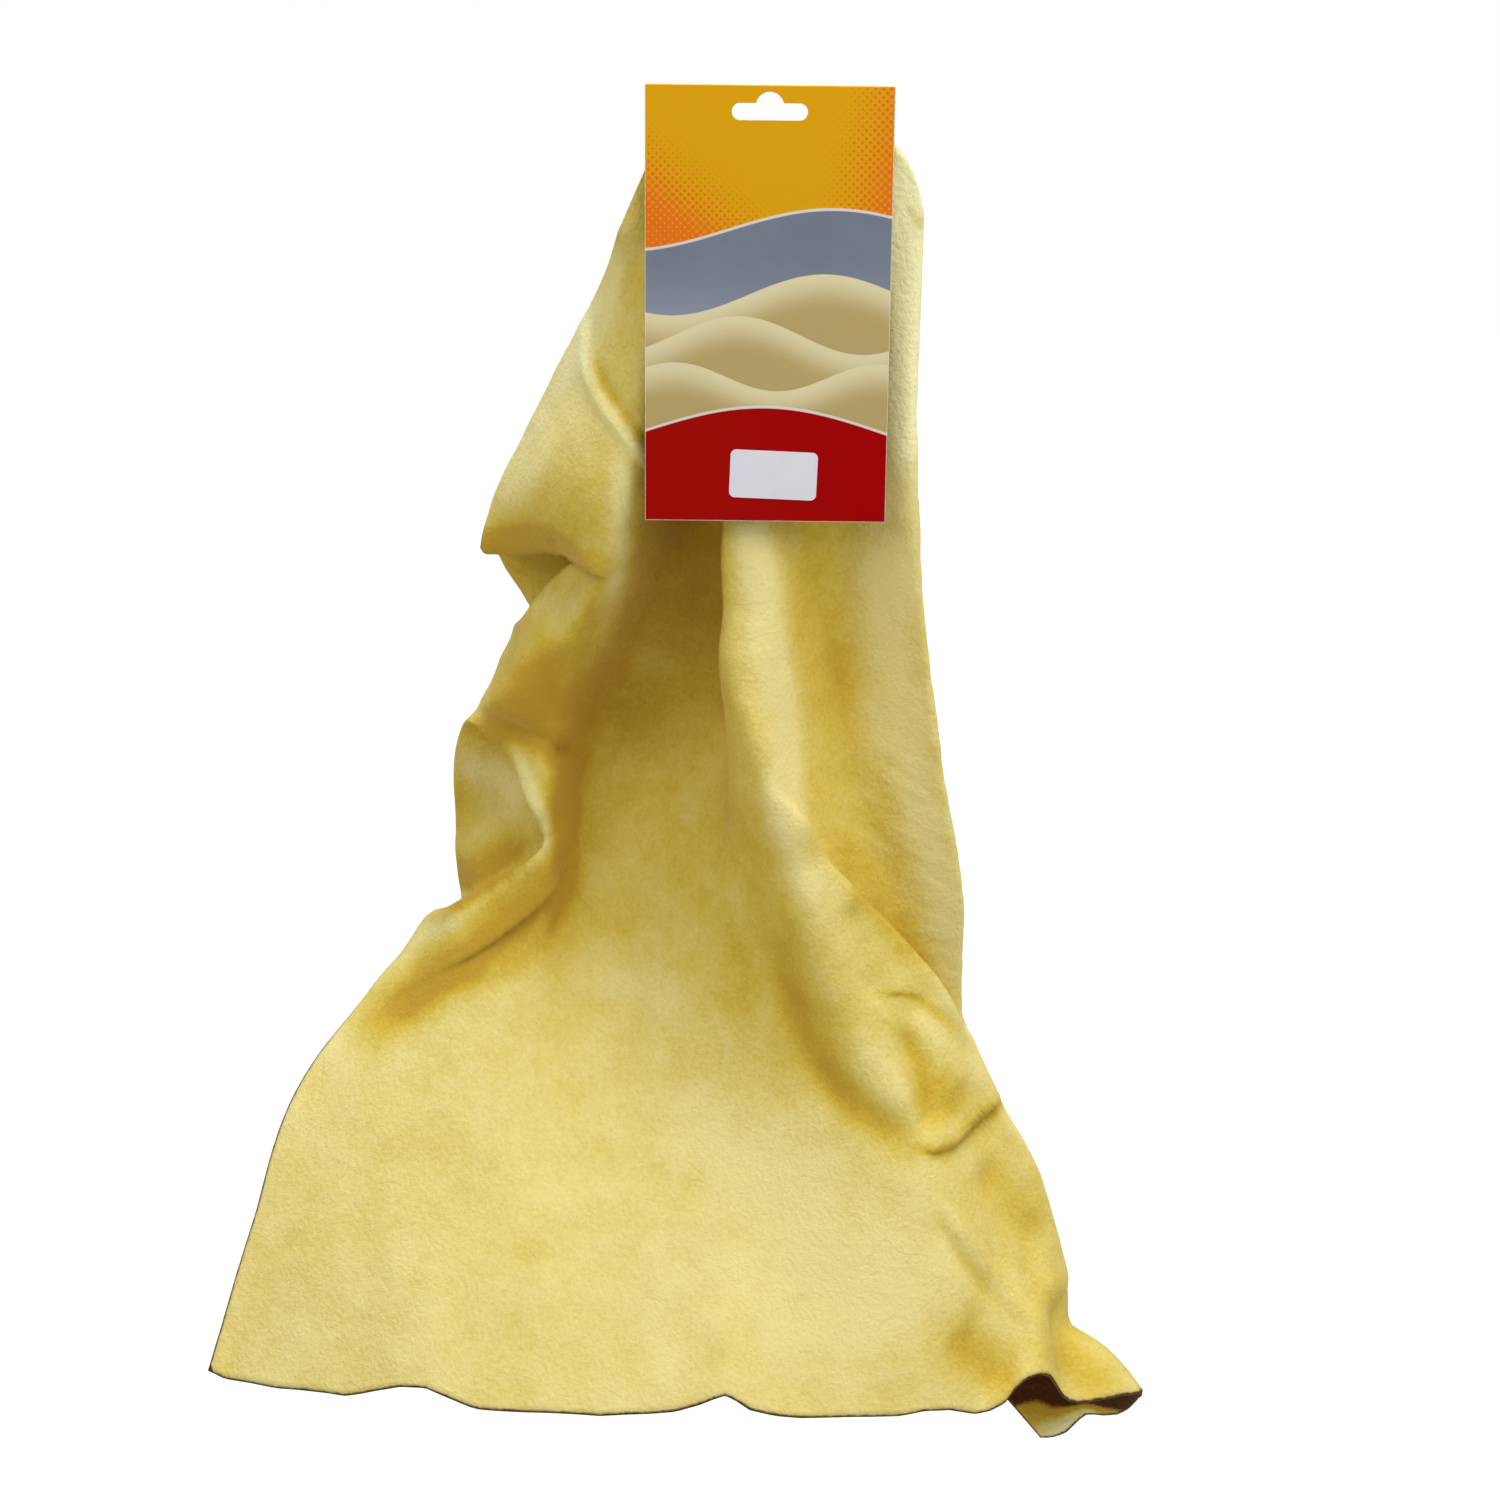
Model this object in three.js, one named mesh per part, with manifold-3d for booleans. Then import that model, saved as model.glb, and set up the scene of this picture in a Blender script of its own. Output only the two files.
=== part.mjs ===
// Chamois leather hung in folds from its header card.
// Millimetres. X runs to the right of the card's face, Y away from it, Z up.
// The origin is the top of the hang slot, on the card's face.

import * as THREE from 'three';
import { mergeVertices } from 'three/addons/utils/BufferGeometryUtils.js';
import Module from 'manifold-3d';

const wasm = await Module();
wasm.setup();

// Fit between pieces that lie on each other
const CLEARANCE = 0.3;

// Header card: one board, folded over at its top edge
const CARD_WIDTH = 105;
const CARD_HEIGHT = 185;
const BOARD = 0.5;
const FOLD_RADIUS = 0.4;
const CREASE_GAP = 0.6;
const FLAP_HEIGHT = 62;
const FLAP_SLOPE = 6;

// Hang slot: a bar with round ends and a hump over its middle
const SLOT_WIDTH = 32;
const SLOT_BAR = 7;
const SLOT_HUMP = 4.6;
const SLOT_HUMP_WIDTH = 11.6;
const SLOT_EDGE = 3;

// Paper label on the card's face, a little askew
const LABEL_WIDTH = 38;
const LABEL_HEIGHT = 21;
const LABEL_CORNER = 2.5;
const LABEL_THICKNESS = 0.15;
const LABEL_TURN = 2;
const LABEL_OFFSET = 3.4;
const LABEL_ABOVE_FOOT = 20.4;

// Wire staples through the back flap and the hide
const STAPLE_WIRE = 0.6;
const STAPLE_CROWN = 12;
const STAPLE_CLINCH = 4.5;
const STAPLE_BEND = 0.5;
const STAPLE_SPACING = 44;
const STAPLE_BELOW_SLOT = 24;

// Hide: one skin of even thickness, with the spread, depth and drop of its hung shape
const HIDE_SPREAD = 434;
const HIDE_DEPTH = 178;
const HIDE_DROP = 610;
const HIDE_THICKNESS = 1;
const HIDE_BELOW_SLOT = 6;

// Places that follow from the sizes above
const HALF_CARD = CARD_WIDTH / 2;
const CARD_TOP = SLOT_EDGE;
const CARD_FOOT = CARD_TOP - CARD_HEIGHT;
const FOLD_OUTER = FOLD_RADIUS + BOARD;
const FOLD_HEIGHT = CARD_TOP - FOLD_OUTER;
const PANEL_TOP = FOLD_HEIGHT - CREASE_GAP;
const FLAP_FOOT = CARD_TOP - FLAP_HEIGHT;
const FLAP_TILT = THREE.MathUtils.degToRad(FLAP_SLOPE);
const SLOT_FOOT = -SLOT_HUMP - SLOT_BAR;
const HIDE_TOP = SLOT_FOOT - HIDE_BELOW_SLOT;
const STAPLE_HEIGHT = SLOT_FOOT - STAPLE_BELOW_SLOT;
const STAPLE_HOLE = STAPLE_WIRE / 2 + CLEARANCE;

const SLOT_ARC_STEPS = 10;
const FOLD_ARC_STEPS = 6;
const LABEL_ARC_STEPS = 4;
const WIRE_SIDES = 6;
const WIRE_STEPS = 44;
const HOLE_SIDES = 8;
const MARGIN_ROWS = 2;
const FREE_ROWS = 18;
const ROW_CROWDING = 0.3;

// Corners closer than this are one corner
const SAME_POINT = 1e-4;

function material(color, roughness, metalness = 0) {
  return new THREE.MeshStandardMaterial({ color, roughness, metalness });
}

const leather = material(0xe0cc7c, 0.95);
const printedBoard = material(0xd0562a, 0.4);
const plainBoard = material(0xe6e2d8, 0.8);
const labelPaper = material(0xeceaf0, 0.6);
const staples = ['left', 'right'];
const stapleSteel = staples.map(() => material(0xb9bcc0, 0.3, 1));

// Closed position-only mesh, as a solid that can be cut
function toSolid(geometry) {
  const bare = new THREE.BufferGeometry();
  bare.setAttribute('position', geometry.getAttribute('position'));
  if (geometry.index) bare.setIndex(geometry.index);
  const merged = mergeVertices(bare, SAME_POINT);
  const vertProperties = new Float32Array(merged.getAttribute('position').array);
  const triVerts = new Uint32Array(merged.index.array);
  return new wasm.Manifold(new wasm.Mesh({ numProp: 3, vertProperties, triVerts }));
}

function toGeometry(solid) {
  const mesh = solid.getMesh();
  const geometry = new THREE.BufferGeometry();
  geometry.setAttribute('position', new THREE.BufferAttribute(mesh.vertProperties, 3));
  geometry.setIndex(new THREE.BufferAttribute(mesh.triVerts, 1));
  return geometry;
}

function cut(geometry, tools) {
  const solids = tools.map(toSolid);
  return toGeometry(solids.reduce((body, tool) => body.subtract(tool), toSolid(geometry)));
}

// Front elevation shape (x, z), given depth along +Y from the face
function extrudeBack(shape, depth, face, curveSegments) {
  const geometry = new THREE.ExtrudeGeometry(shape, { depth, curveSegments, bevelEnabled: false });
  return geometry.rotateX(Math.PI / 2).translate(0, face + depth, 0);
}

// Outline of the hang slot, drawn on a shape or as a hole in one
function traceSlot(path) {
  const end = SLOT_BAR / 2;
  const endX = SLOT_WIDTH / 2 - end;
  const middle = -SLOT_HUMP - end;
  const half = SLOT_HUMP_WIDTH / 2;
  const humpRadius = (half * half + SLOT_HUMP * SLOT_HUMP) / (2 * SLOT_HUMP);
  const humpStart = Math.asin((humpRadius - SLOT_HUMP) / humpRadius);
  path.moveTo(-endX, SLOT_FOOT);
  path.lineTo(endX, SLOT_FOOT);
  path.absarc(endX, middle, end, -Math.PI / 2, Math.PI / 2, false);
  path.lineTo(half, -SLOT_HUMP);
  path.absarc(0, -humpRadius, humpRadius, humpStart, Math.PI - humpStart, false);
  path.lineTo(-endX, -SLOT_HUMP);
  path.absarc(-endX, middle, end, Math.PI / 2, 1.5 * Math.PI, false);
  return path;
}

function frontPanel() {
  const shape = new THREE.Shape();
  shape.moveTo(-HALF_CARD, CARD_FOOT);
  shape.lineTo(HALF_CARD, CARD_FOOT);
  shape.lineTo(HALF_CARD, PANEL_TOP);
  shape.lineTo(-HALF_CARD, PANEL_TOP);
  shape.closePath();
  shape.holes.push(traceSlot(new THREE.Path()));
  return extrudeBack(shape, BOARD, 0, SLOT_ARC_STEPS);
}

// Front and back faces of the flap, which leans back below the fold
function flapFront(z) {
  return 2 * FOLD_RADIUS + BOARD + (FOLD_HEIGHT - z) * Math.tan(FLAP_TILT);
}

function flapBack(z) {
  return flapFront(z) + BOARD;
}

// Side section (y, z) of the fold and the flap, run across the card's width
function backFlap() {
  const section = new THREE.Shape();
  section.moveTo(0, FOLD_HEIGHT);
  section.absarc(FOLD_OUTER, FOLD_HEIGHT, FOLD_OUTER, Math.PI, 0, true);
  section.lineTo(flapBack(FLAP_FOOT), FLAP_FOOT);
  section.lineTo(flapFront(FLAP_FOOT), FLAP_FOOT);
  section.lineTo(flapFront(FOLD_HEIGHT), FOLD_HEIGHT);
  section.absarc(FOLD_OUTER, FOLD_HEIGHT, FOLD_RADIUS, 0, Math.PI, false);
  const across = new THREE.Matrix4().makeBasis(
    new THREE.Vector3(0, 1, 0), new THREE.Vector3(0, 0, 1), new THREE.Vector3(1, 0, 0));
  const flap = new THREE.ExtrudeGeometry(section,
    { depth: CARD_WIDTH, curveSegments: FOLD_ARC_STEPS, bevelEnabled: false });
  flap.applyMatrix4(across).translate(-HALF_CARD, 0, 0);
  const slotReach = flapBack(SLOT_FOOT) + BOARD;
  const slot = extrudeBack(traceSlot(new THREE.Shape()), slotReach, 0, SLOT_ARC_STEPS);
  return cut(flap, [slot, ...stapleHoles()]);
}

function sizeLabel() {
  const x = LABEL_WIDTH / 2 - LABEL_CORNER;
  const z = LABEL_HEIGHT / 2 - LABEL_CORNER;
  const shape = new THREE.Shape();
  shape.absarc(x, z, LABEL_CORNER, 0, Math.PI / 2, false);
  shape.absarc(-x, z, LABEL_CORNER, Math.PI / 2, Math.PI, false);
  shape.absarc(-x, -z, LABEL_CORNER, Math.PI, 1.5 * Math.PI, false);
  shape.absarc(x, -z, LABEL_CORNER, 1.5 * Math.PI, 2 * Math.PI, false);
  return extrudeBack(shape, LABEL_THICKNESS, -LABEL_THICKNESS, LABEL_ARC_STEPS);
}

// Staple, in a frame on the flap's back face with +Y pointing out of it
function stapleX(side) {
  return side === 'left' ? -STAPLE_SPACING / 2 : STAPLE_SPACING / 2;
}

function stapleFrame(side) {
  const place = new THREE.Vector3(stapleX(side), flapBack(STAPLE_HEIGHT), STAPLE_HEIGHT);
  return new THREE.Matrix4().makeRotationX(FLAP_TILT).setPosition(place);
}

const CROWN_DEPTH = CLEARANCE + STAPLE_WIRE / 2;
const CLINCH_DEPTH = -BOARD - HIDE_THICKNESS - 2 * CLEARANCE - STAPLE_WIRE / 2;

function staple() {
  const half = STAPLE_CROWN / 2;
  const corners = [
    [STAPLE_CLINCH - half, CLINCH_DEPTH], [-half, CLINCH_DEPTH], [-half, CROWN_DEPTH],
    [half, CROWN_DEPTH], [half, CLINCH_DEPTH], [half - STAPLE_CLINCH, CLINCH_DEPTH],
  ].map(([x, y]) => new THREE.Vector3(x, y, 0));
  const wire = new THREE.CurvePath();
  let from = corners[0];
  for (let i = 1; i < corners.length - 1; i += 1) {
    const before = towards(corners[i], corners[i - 1], STAPLE_BEND);
    const after = towards(corners[i], corners[i + 1], STAPLE_BEND);
    wire.add(new THREE.LineCurve3(from, before));
    wire.add(new THREE.QuadraticBezierCurve3(before, corners[i], after));
    from = after;
  }
  wire.add(new THREE.LineCurve3(from, corners.at(-1)));
  const section = new THREE.Shape().absarc(0, 0, STAPLE_WIRE / 2, 0, 2 * Math.PI, false);
  return new THREE.ExtrudeGeometry(section,
    { steps: WIRE_STEPS, curveSegments: WIRE_SIDES, extrudePath: wire });
}

function towards(from, to, distance) {
  return to.clone().sub(from).setLength(distance).add(from);
}

// Clearance holes for both legs of both staples
function stapleHoles() {
  const length = 2 * (CROWN_DEPTH - CLINCH_DEPTH);
  return staples.flatMap((side) => [-1, 1].map((leg) => {
    const hole = new THREE.CylinderGeometry(STAPLE_HOLE, STAPLE_HOLE, length, HOLE_SIDES);
    hole.translate(leg * STAPLE_CROWN / 2, CLINCH_DEPTH / 2, 0);
    return hole.applyMatrix4(stapleFrame(side));
  }));
}

// The hide's top margin lies flat on the flap, between it and the front panel
function seat(z) {
  return flapFront(z) - CLEARANCE - HIDE_THICKNESS / 2;
}

// A stretch of a fold line in the margin, at shares of half the card's width
function margin(top, foot) {
  return [top, (top + foot) / 2, foot].map((share, i) => {
    const z = HIDE_TOP + (FLAP_FOOT - HIDE_TOP) * i / 2;
    return [share * HALF_CARD, seat(z), z];
  });
}

// Round the side of the card, in thousandths of its width
function besideCard(...points) {
  return points.map(([out, back, down]) => [HALF_CARD + out * CARD_WIDTH / 1000,
    back * CARD_WIDTH / 1000, HIDE_TOP - down * CARD_WIDTH / 1000]);
}

// Out from under the card's foot, in thousandths of its width
function belowCard(...points) {
  return points.map(([across, back, down]) => [across * CARD_WIDTH / 1000,
    back * CARD_WIDTH / 1000, CARD_FOOT - down * CARD_WIDTH / 1000]);
}

// Hanging free, in thousandths of the hide's spread, depth and drop
function hung(...points) {
  return points.map(([across, back, down]) => [across * HIDE_SPREAD / 1000,
    back * HIDE_DEPTH / 1000, HIDE_TOP - down * HIDE_DROP / 1000]);
}

// Ridges and valleys of the hanging hide, from the left cut edge round to the right one,
// each running from the top margin down to the hem
const foldLines = {
  leftCutEdge: [
    ...margin(-0.88, -1.23),
    ...hung([-161, 118, 96], [-177, 174, 120], [-212, 242, 165], [-247, 309, 214], [-290, 376, 283],
      [-297, 393, 312], [-286, 433, 333], [-267, 466, 360], [-260, 472, 379], [-279, 449, 407],
      [-325, 404, 451], [-343, 438, 560], [-348, 404, 604], [-424, 292, 658], [-502, 146, 727],
      [-544, -56, 817], [-581, -258, 910]),
  ],
  leftFlank: [
    ...margin(-0.76, -1.03),
    ...hung([-145, 101, 120], [-180, 146, 179], [-224, 191, 283], [-207, 303, 327],
      [-224, 242, 365], [-256, 247, 401], [-288, 281, 435], [-281, 371, 471], [-279, 382, 520],
      [-304, 281, 576], [-341, 157, 643], [-385, 11, 717], [-419, -169, 801], [-445, -382, 907]),
  ],
  leftRidge: [
    ...margin(-0.57, -0.88),
    ...hung([-122, 51, 186], [-147, 51, 271], [-166, 96, 312], [-189, 185, 356], [-207, 253, 401],
      [-226, 281, 442], [-233, 247, 491], [-235, 236, 550], [-244, 208, 607], [-260, 79, 668],
      [-272, -67, 729], [-281, -247, 804], [-293, -472, 901]),
  ],
  valley: [
    ...margin(-0.3, -0.46),
    ...hung([-62, 191, 155], [-67, 337, 247], [-71, 376, 297], [-113, 427, 371], [-157, 438, 437],
      [-189, 393, 499], [-198, 337, 561], [-191, 270, 614], [-182, 180, 656], [-175, 34, 712],
      [-175, -202, 801], [-168, -472, 906]),
  ],
  pleatInner: [
    ...margin(-0.11, -0.22),
    ...hung([-28, 84, 129], [-14, 225, 188], [-5, 303, 284], [-5, 303, 363], [-30, 258, 450],
      [-62, 169, 537], [-78, 135, 614], [-83, 79, 660], [-83, -51, 732], [-76, -264, 817],
      [-69, -483, 899]),
  ],
  pleatEdge: [
    ...margin(0.08, -0.1),
    ...hung([-14, 47, 129], [-37, 56, 188], [-41, 67, 273], [-39, 45, 365], [-35, 34, 447],
      [-21, 45, 520], [-7, 34, 594], [7, -11, 653], [14, -96, 717], [12, -258, 807],
      [9, -489, 899]),
  ],
  columnCrest: [
    ...margin(0.38, 0.23),
    ...hung([-2, 28, 148]),
    ...belowCard([-38, 76, 10], [-19, 10, 362], [-29, -67, 762]),
    ...hung([2, -62, 463], [37, -73, 525], [76, -90, 596], [118, -124, 661], [168, -180, 720],
      [189, -281, 792], [180, -461, 899]),
  ],
  columnTrough: [
    ...margin(1.01, 1.01),
    ...hung([88, 79, 148], [78, 140, 281], [85, 157, 381], [97, 118, 471], [134, 84, 548],
      [173, 45, 614], [207, -11, 676], [247, -51, 750], [274, -191, 825], [293, -348, 892]),
  ],
  rightRoll: [
    ...besideCard([71, 57, 61], [105, 81, 228], [119, 105, 394]),
    ...hung([151, 62, 102], [147, 51, 184], [158, 45, 307], [184, 39, 445], [212, 39, 547],
      [228, 79, 670], [266, 51, 729], [302, 11, 774], [326, -17, 822], [341, -51, 868],
      [346, -84, 891], [380, -118, 909], [417, -169, 937]),
  ],
  rearLayer: [
    ...besideCard([67, 95, 80], [81, 133, 237], [67, 181, 394]),
    ...hung([137, 185, 119], [127, 258, 201], [101, 371, 429], [129, 337, 638], [175, 236, 771],
      [256, 101, 873], [373, -45, 978]),
  ],
  rightCutEdge: [
    ...besideCard([43, 119, 80], [33, 171, 237], [-10, 238, 394]),
    ...hung([62, 247, 119], [-48, 427, 276], [-69, 506, 522], [-39, 438, 651], [55, 247, 791],
      [194, 22, 897], [318, -22, 999]),
  ],
};

// Facets across each stretch between two fold lines, from the left
const FACETS_ACROSS = [4, 4, 2, 2, 2, 2, 3, 3, 2, 2];

// Smooth curve through points at uneven knots
function curveThrough(knots, points) {
  const vectors = points.map((p) => new THREE.Vector3(...p));
  const slopes = vectors.slice(1).map((p, i) =>
    p.clone().sub(vectors[i]).divideScalar(knots[i + 1] - knots[i]));
  const tangents = vectors.map((p, i) => {
    if (i === 0) return slopes[0];
    if (i === vectors.length - 1) return slopes[i - 1];
    const before = knots[i] - knots[i - 1];
    const after = knots[i + 1] - knots[i];
    return slopes[i - 1].clone().multiplyScalar(after)
      .addScaledVector(slopes[i], before).divideScalar(before + after);
  });
  return (t) => {
    let i = 0;
    while (i < knots.length - 2 && t > knots[i + 1]) i += 1;
    const span = knots[i + 1] - knots[i];
    const s = (t - knots[i]) / span;
    return new THREE.Vector3()
      .addScaledVector(vectors[i], (1 + 2 * s) * (1 - s) * (1 - s))
      .addScaledVector(tangents[i], span * s * (1 - s) * (1 - s))
      .addScaledVector(vectors[i + 1], s * s * (3 - 2 * s))
      .addScaledVector(tangents[i + 1], span * s * s * (s - 1));
  };
}

// A fold line as a curve of one value: -1 at its top, 0 level with the flap's foot, 1 at the hem
function foldCurve(points) {
  const top = points[0][2];
  const hem = points.at(-1)[2];
  const knots = points.map(([x, y, z]) =>
    (FLAP_FOOT - z) / (z > FLAP_FOOT ? top - FLAP_FOOT : FLAP_FOOT - hem));
  return curveThrough(knots, points);
}

// One row across the hide: a curve through every fold line at the same share of its drop
function hideRow(curves, drop) {
  const points = curves.map((curve) => curve(drop));
  const knots = [0];
  points.slice(1).forEach((p, i) => knots.push(knots[i] + Math.sqrt(p.distanceTo(points[i]))));
  const row = curveThrough(knots, points.map((p) => p.toArray()));
  const stations = FACETS_ACROSS.flatMap((count, i) => Array.from({ length: count },
    (unused, k) => knots[i] + (knots[i + 1] - knots[i]) * k / count));
  return [...stations, knots.at(-1)].map(row);
}

// Rows down the margin and the free part, closer together where the left side buckles
function rowDrops() {
  const margin = Array.from({ length: MARGIN_ROWS }, (unused, i) => i / MARGIN_ROWS - 1);
  const free = Array.from({ length: FREE_ROWS + 1 }, (unused, i) => {
    const even = i / FREE_ROWS;
    return even + ROW_CROWDING * Math.sin(2 * Math.PI * even) / (2 * Math.PI);
  });
  return [...margin, ...free];
}

// Mean direction through a point, with both neighbours counted alike
function passing(before, here, after) {
  const direction = new THREE.Vector3();
  if (before) direction.add(here.clone().sub(before).normalize());
  if (after) direction.add(after.clone().sub(here).normalize());
  return direction;
}

// Closed skin: the middle surface moved half a thickness each way, joined round the cut edge
function hide() {
  const curves = Object.values(foldLines).map(foldCurve);
  const rows = rowDrops().map((drop) => hideRow(curves, drop));
  const columns = rows[0].length;
  const last = rows.length - 1;
  const normal = (r, c) => {
    const down = passing(rows[r - 1]?.[c], rows[r][c], rows[r + 1]?.[c]);
    return down.cross(passing(rows[r][c - 1], rows[r][c], rows[r][c + 1])).normalize();
  };
  const positions = [];
  for (const side of [1, -1]) {
    rows.forEach((row, r) => row.forEach((p, c) => {
      positions.push(...p.clone().addScaledVector(normal(r, c), side * HIDE_THICKNESS / 2));
    }));
  }
  const back = rows.length * columns;
  const at = (r, c) => r * columns + c;
  const triangles = [];
  const quad = (a, b, c, d) => triangles.push(a, b, c, a, c, d);
  for (let r = 0; r < last; r += 1) {
    for (let c = 0; c < columns - 1; c += 1) {
      quad(at(r, c), at(r + 1, c), at(r + 1, c + 1), at(r, c + 1));
      quad(back + at(r, c), back + at(r, c + 1), back + at(r + 1, c + 1), back + at(r + 1, c));
    }
  }
  const rim = [
    ...rows.slice(0, -1).map((row, r) => at(r, 0)),
    ...rows[0].slice(0, -1).map((p, c) => at(last, c)),
    ...rows.slice(1).map((row, r) => at(last - r, columns - 1)),
    ...rows[0].slice(1).map((p, c) => at(0, columns - 1 - c)),
  ];
  rim.forEach((a, i) => {
    const b = rim[(i + 1) % rim.length];
    quad(b, a, back + a, back + b);
  });
  const skin = new THREE.BufferGeometry();
  skin.setAttribute('position', new THREE.Float32BufferAttribute(positions, 3));
  skin.setIndex(triangles);
  return cut(skin, stapleHoles());
}

function piece(name, geometry, finish) {
  const mesh = new THREE.Mesh(geometry, finish);
  mesh.name = name;
  return mesh;
}

const card = new THREE.Group();
card.add(piece('card_front_panel', frontPanel(), printedBoard));
card.add(piece('card_back_flap', backFlap(), plainBoard));

const label = piece('size_label', sizeLabel(), labelPaper);
label.position.set(LABEL_OFFSET, 0, CARD_FOOT + LABEL_ABOVE_FOOT);
label.rotation.y = THREE.MathUtils.degToRad(LABEL_TURN);
card.add(label);

const chamois = new THREE.Group();
chamois.add(card);
chamois.add(piece('chamois_hide', hide(), leather));
staples.forEach((side, i) => {
  const wire = piece(`staple_${side}`, staple(), stapleSteel[i]);
  wire.applyMatrix4(stapleFrame(side));
  chamois.add(wire);
});

export default chamois;
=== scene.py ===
"""Chamois leather hung from its header card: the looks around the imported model.

Sizes are typed in millimetres and turned into metres by MM. X runs to the right of the
card's face, Y away from it and Z up; the origin is the top of the hang slot.
"""

import logging
import math
from dataclasses import dataclass
from enum import Enum
from functools import lru_cache

import bpy
import numpy as np
from mathutils import Matrix, Vector, noise
from mathutils.bvhtree import BVHTree


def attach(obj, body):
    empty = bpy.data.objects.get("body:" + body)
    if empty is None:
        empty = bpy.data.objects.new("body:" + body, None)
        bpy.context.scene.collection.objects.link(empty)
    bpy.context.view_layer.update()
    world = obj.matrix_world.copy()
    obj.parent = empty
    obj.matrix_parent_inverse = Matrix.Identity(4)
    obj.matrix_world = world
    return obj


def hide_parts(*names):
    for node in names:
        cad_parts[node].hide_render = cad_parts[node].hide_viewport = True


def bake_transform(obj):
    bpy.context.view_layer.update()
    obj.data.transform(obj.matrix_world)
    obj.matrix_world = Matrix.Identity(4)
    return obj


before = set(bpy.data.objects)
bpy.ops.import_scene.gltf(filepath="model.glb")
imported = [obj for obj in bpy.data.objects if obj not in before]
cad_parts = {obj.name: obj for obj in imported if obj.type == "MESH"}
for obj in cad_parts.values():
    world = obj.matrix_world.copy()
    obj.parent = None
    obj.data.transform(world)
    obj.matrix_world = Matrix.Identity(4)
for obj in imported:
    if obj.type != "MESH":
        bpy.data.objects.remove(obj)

LOG = logging.getLogger("chamois")
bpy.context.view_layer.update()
MM = 0.001

# Header card in millimetres, and the slope of its back flap
CARD_HALF = 52.5
CARD_TOP = 3.0
CARD_FOOT = -182.0
BOARD_THICKNESS = 0.5
FOLD_HEIGHT = 2.1
FLAP_FOOT = -59.0
FLAP_SLOPE = math.radians(6.0)

Colour = tuple[float, float, float]
Point2 = tuple[float, float]
Point3 = tuple[float, float, float]


class Body(Enum):
    """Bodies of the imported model."""

    HIDE = "hanging_hide"
    PANEL = "lifting_panel"


class Slot(Enum):
    """Names of the material slots."""

    LEATHER = "hide_leather"
    PRINT = "printed_board"
    LABEL = "label_paper"


def smoothstep(low: float, high: float, value: np.ndarray) -> np.ndarray:
    """Ease from 0 at low to 1 at high."""
    share = np.clip((value - low) / (high - low), 0.0, 1.0)
    return share * share * (3.0 - 2.0 * share)


def deselect_all() -> None:
    """Leave nothing selected, so that the next operator acts on its own piece alone."""
    bpy.ops.object.select_all(action="DESELECT")


def make_active(piece: bpy.types.Object) -> None:
    """Select one piece and make it the active one."""
    deselect_all()
    piece.select_set(True)
    bpy.context.view_layer.objects.active = piece


def apply_modifier(piece: bpy.types.Object, kind: str, **settings: object) -> None:
    """Add a modifier to a piece and apply it.

    Args:
        piece: the piece to change.
        kind: the modifier's type.
        settings: its properties.
    """
    make_active(piece)
    modifier = piece.modifiers.new(kind.lower(), kind)
    for name, value in settings.items():
        setattr(modifier, name, value)
    bpy.ops.object.modifier_apply(modifier=modifier.name)


# Node building


class Signal:
    """A node's output that builds Math nodes when it is reckoned with."""

    def __init__(self, sheet: "NodeSheet", socket: bpy.types.NodeSocket) -> None:
        """Hold an output socket of a sheet."""
        self.sheet = sheet
        self.socket = socket

    def reckon(self, operation: str, *others: "Signal | float", clamp: bool = False) -> "Signal":
        """Feed this value and others to a Math node.

        Args:
            operation: the Math node's operation.
            others: its other inputs.
            clamp: whether the result is held between 0 and 1.

        Returns:
            The result.
        """
        return self.sheet.join("ShaderNodeMath", 0, dict(enumerate((self, *others))),
                               operation=operation, use_clamp=clamp)

    def __add__(self, other: "Signal | float") -> "Signal":
        """Sum."""
        return self.reckon("ADD", other)

    def __sub__(self, other: "Signal | float") -> "Signal":
        """Difference."""
        return self.reckon("SUBTRACT", other)

    def __mul__(self, other: "Signal | float") -> "Signal":
        """Product."""
        return self.reckon("MULTIPLY", other)

    def sine(self) -> "Signal":
        """Sine of an angle in radians."""
        return self.reckon("SINE")

    def ease(self, low: float, high: float) -> "Signal":
        """Smooth step from 0 at low to 1 at high."""
        return self.sheet.join("ShaderNodeMapRange", "Result", {
            "Value": self, "From Min": low, "From Max": high}, interpolation_type="SMOOTHSTEP")


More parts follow.
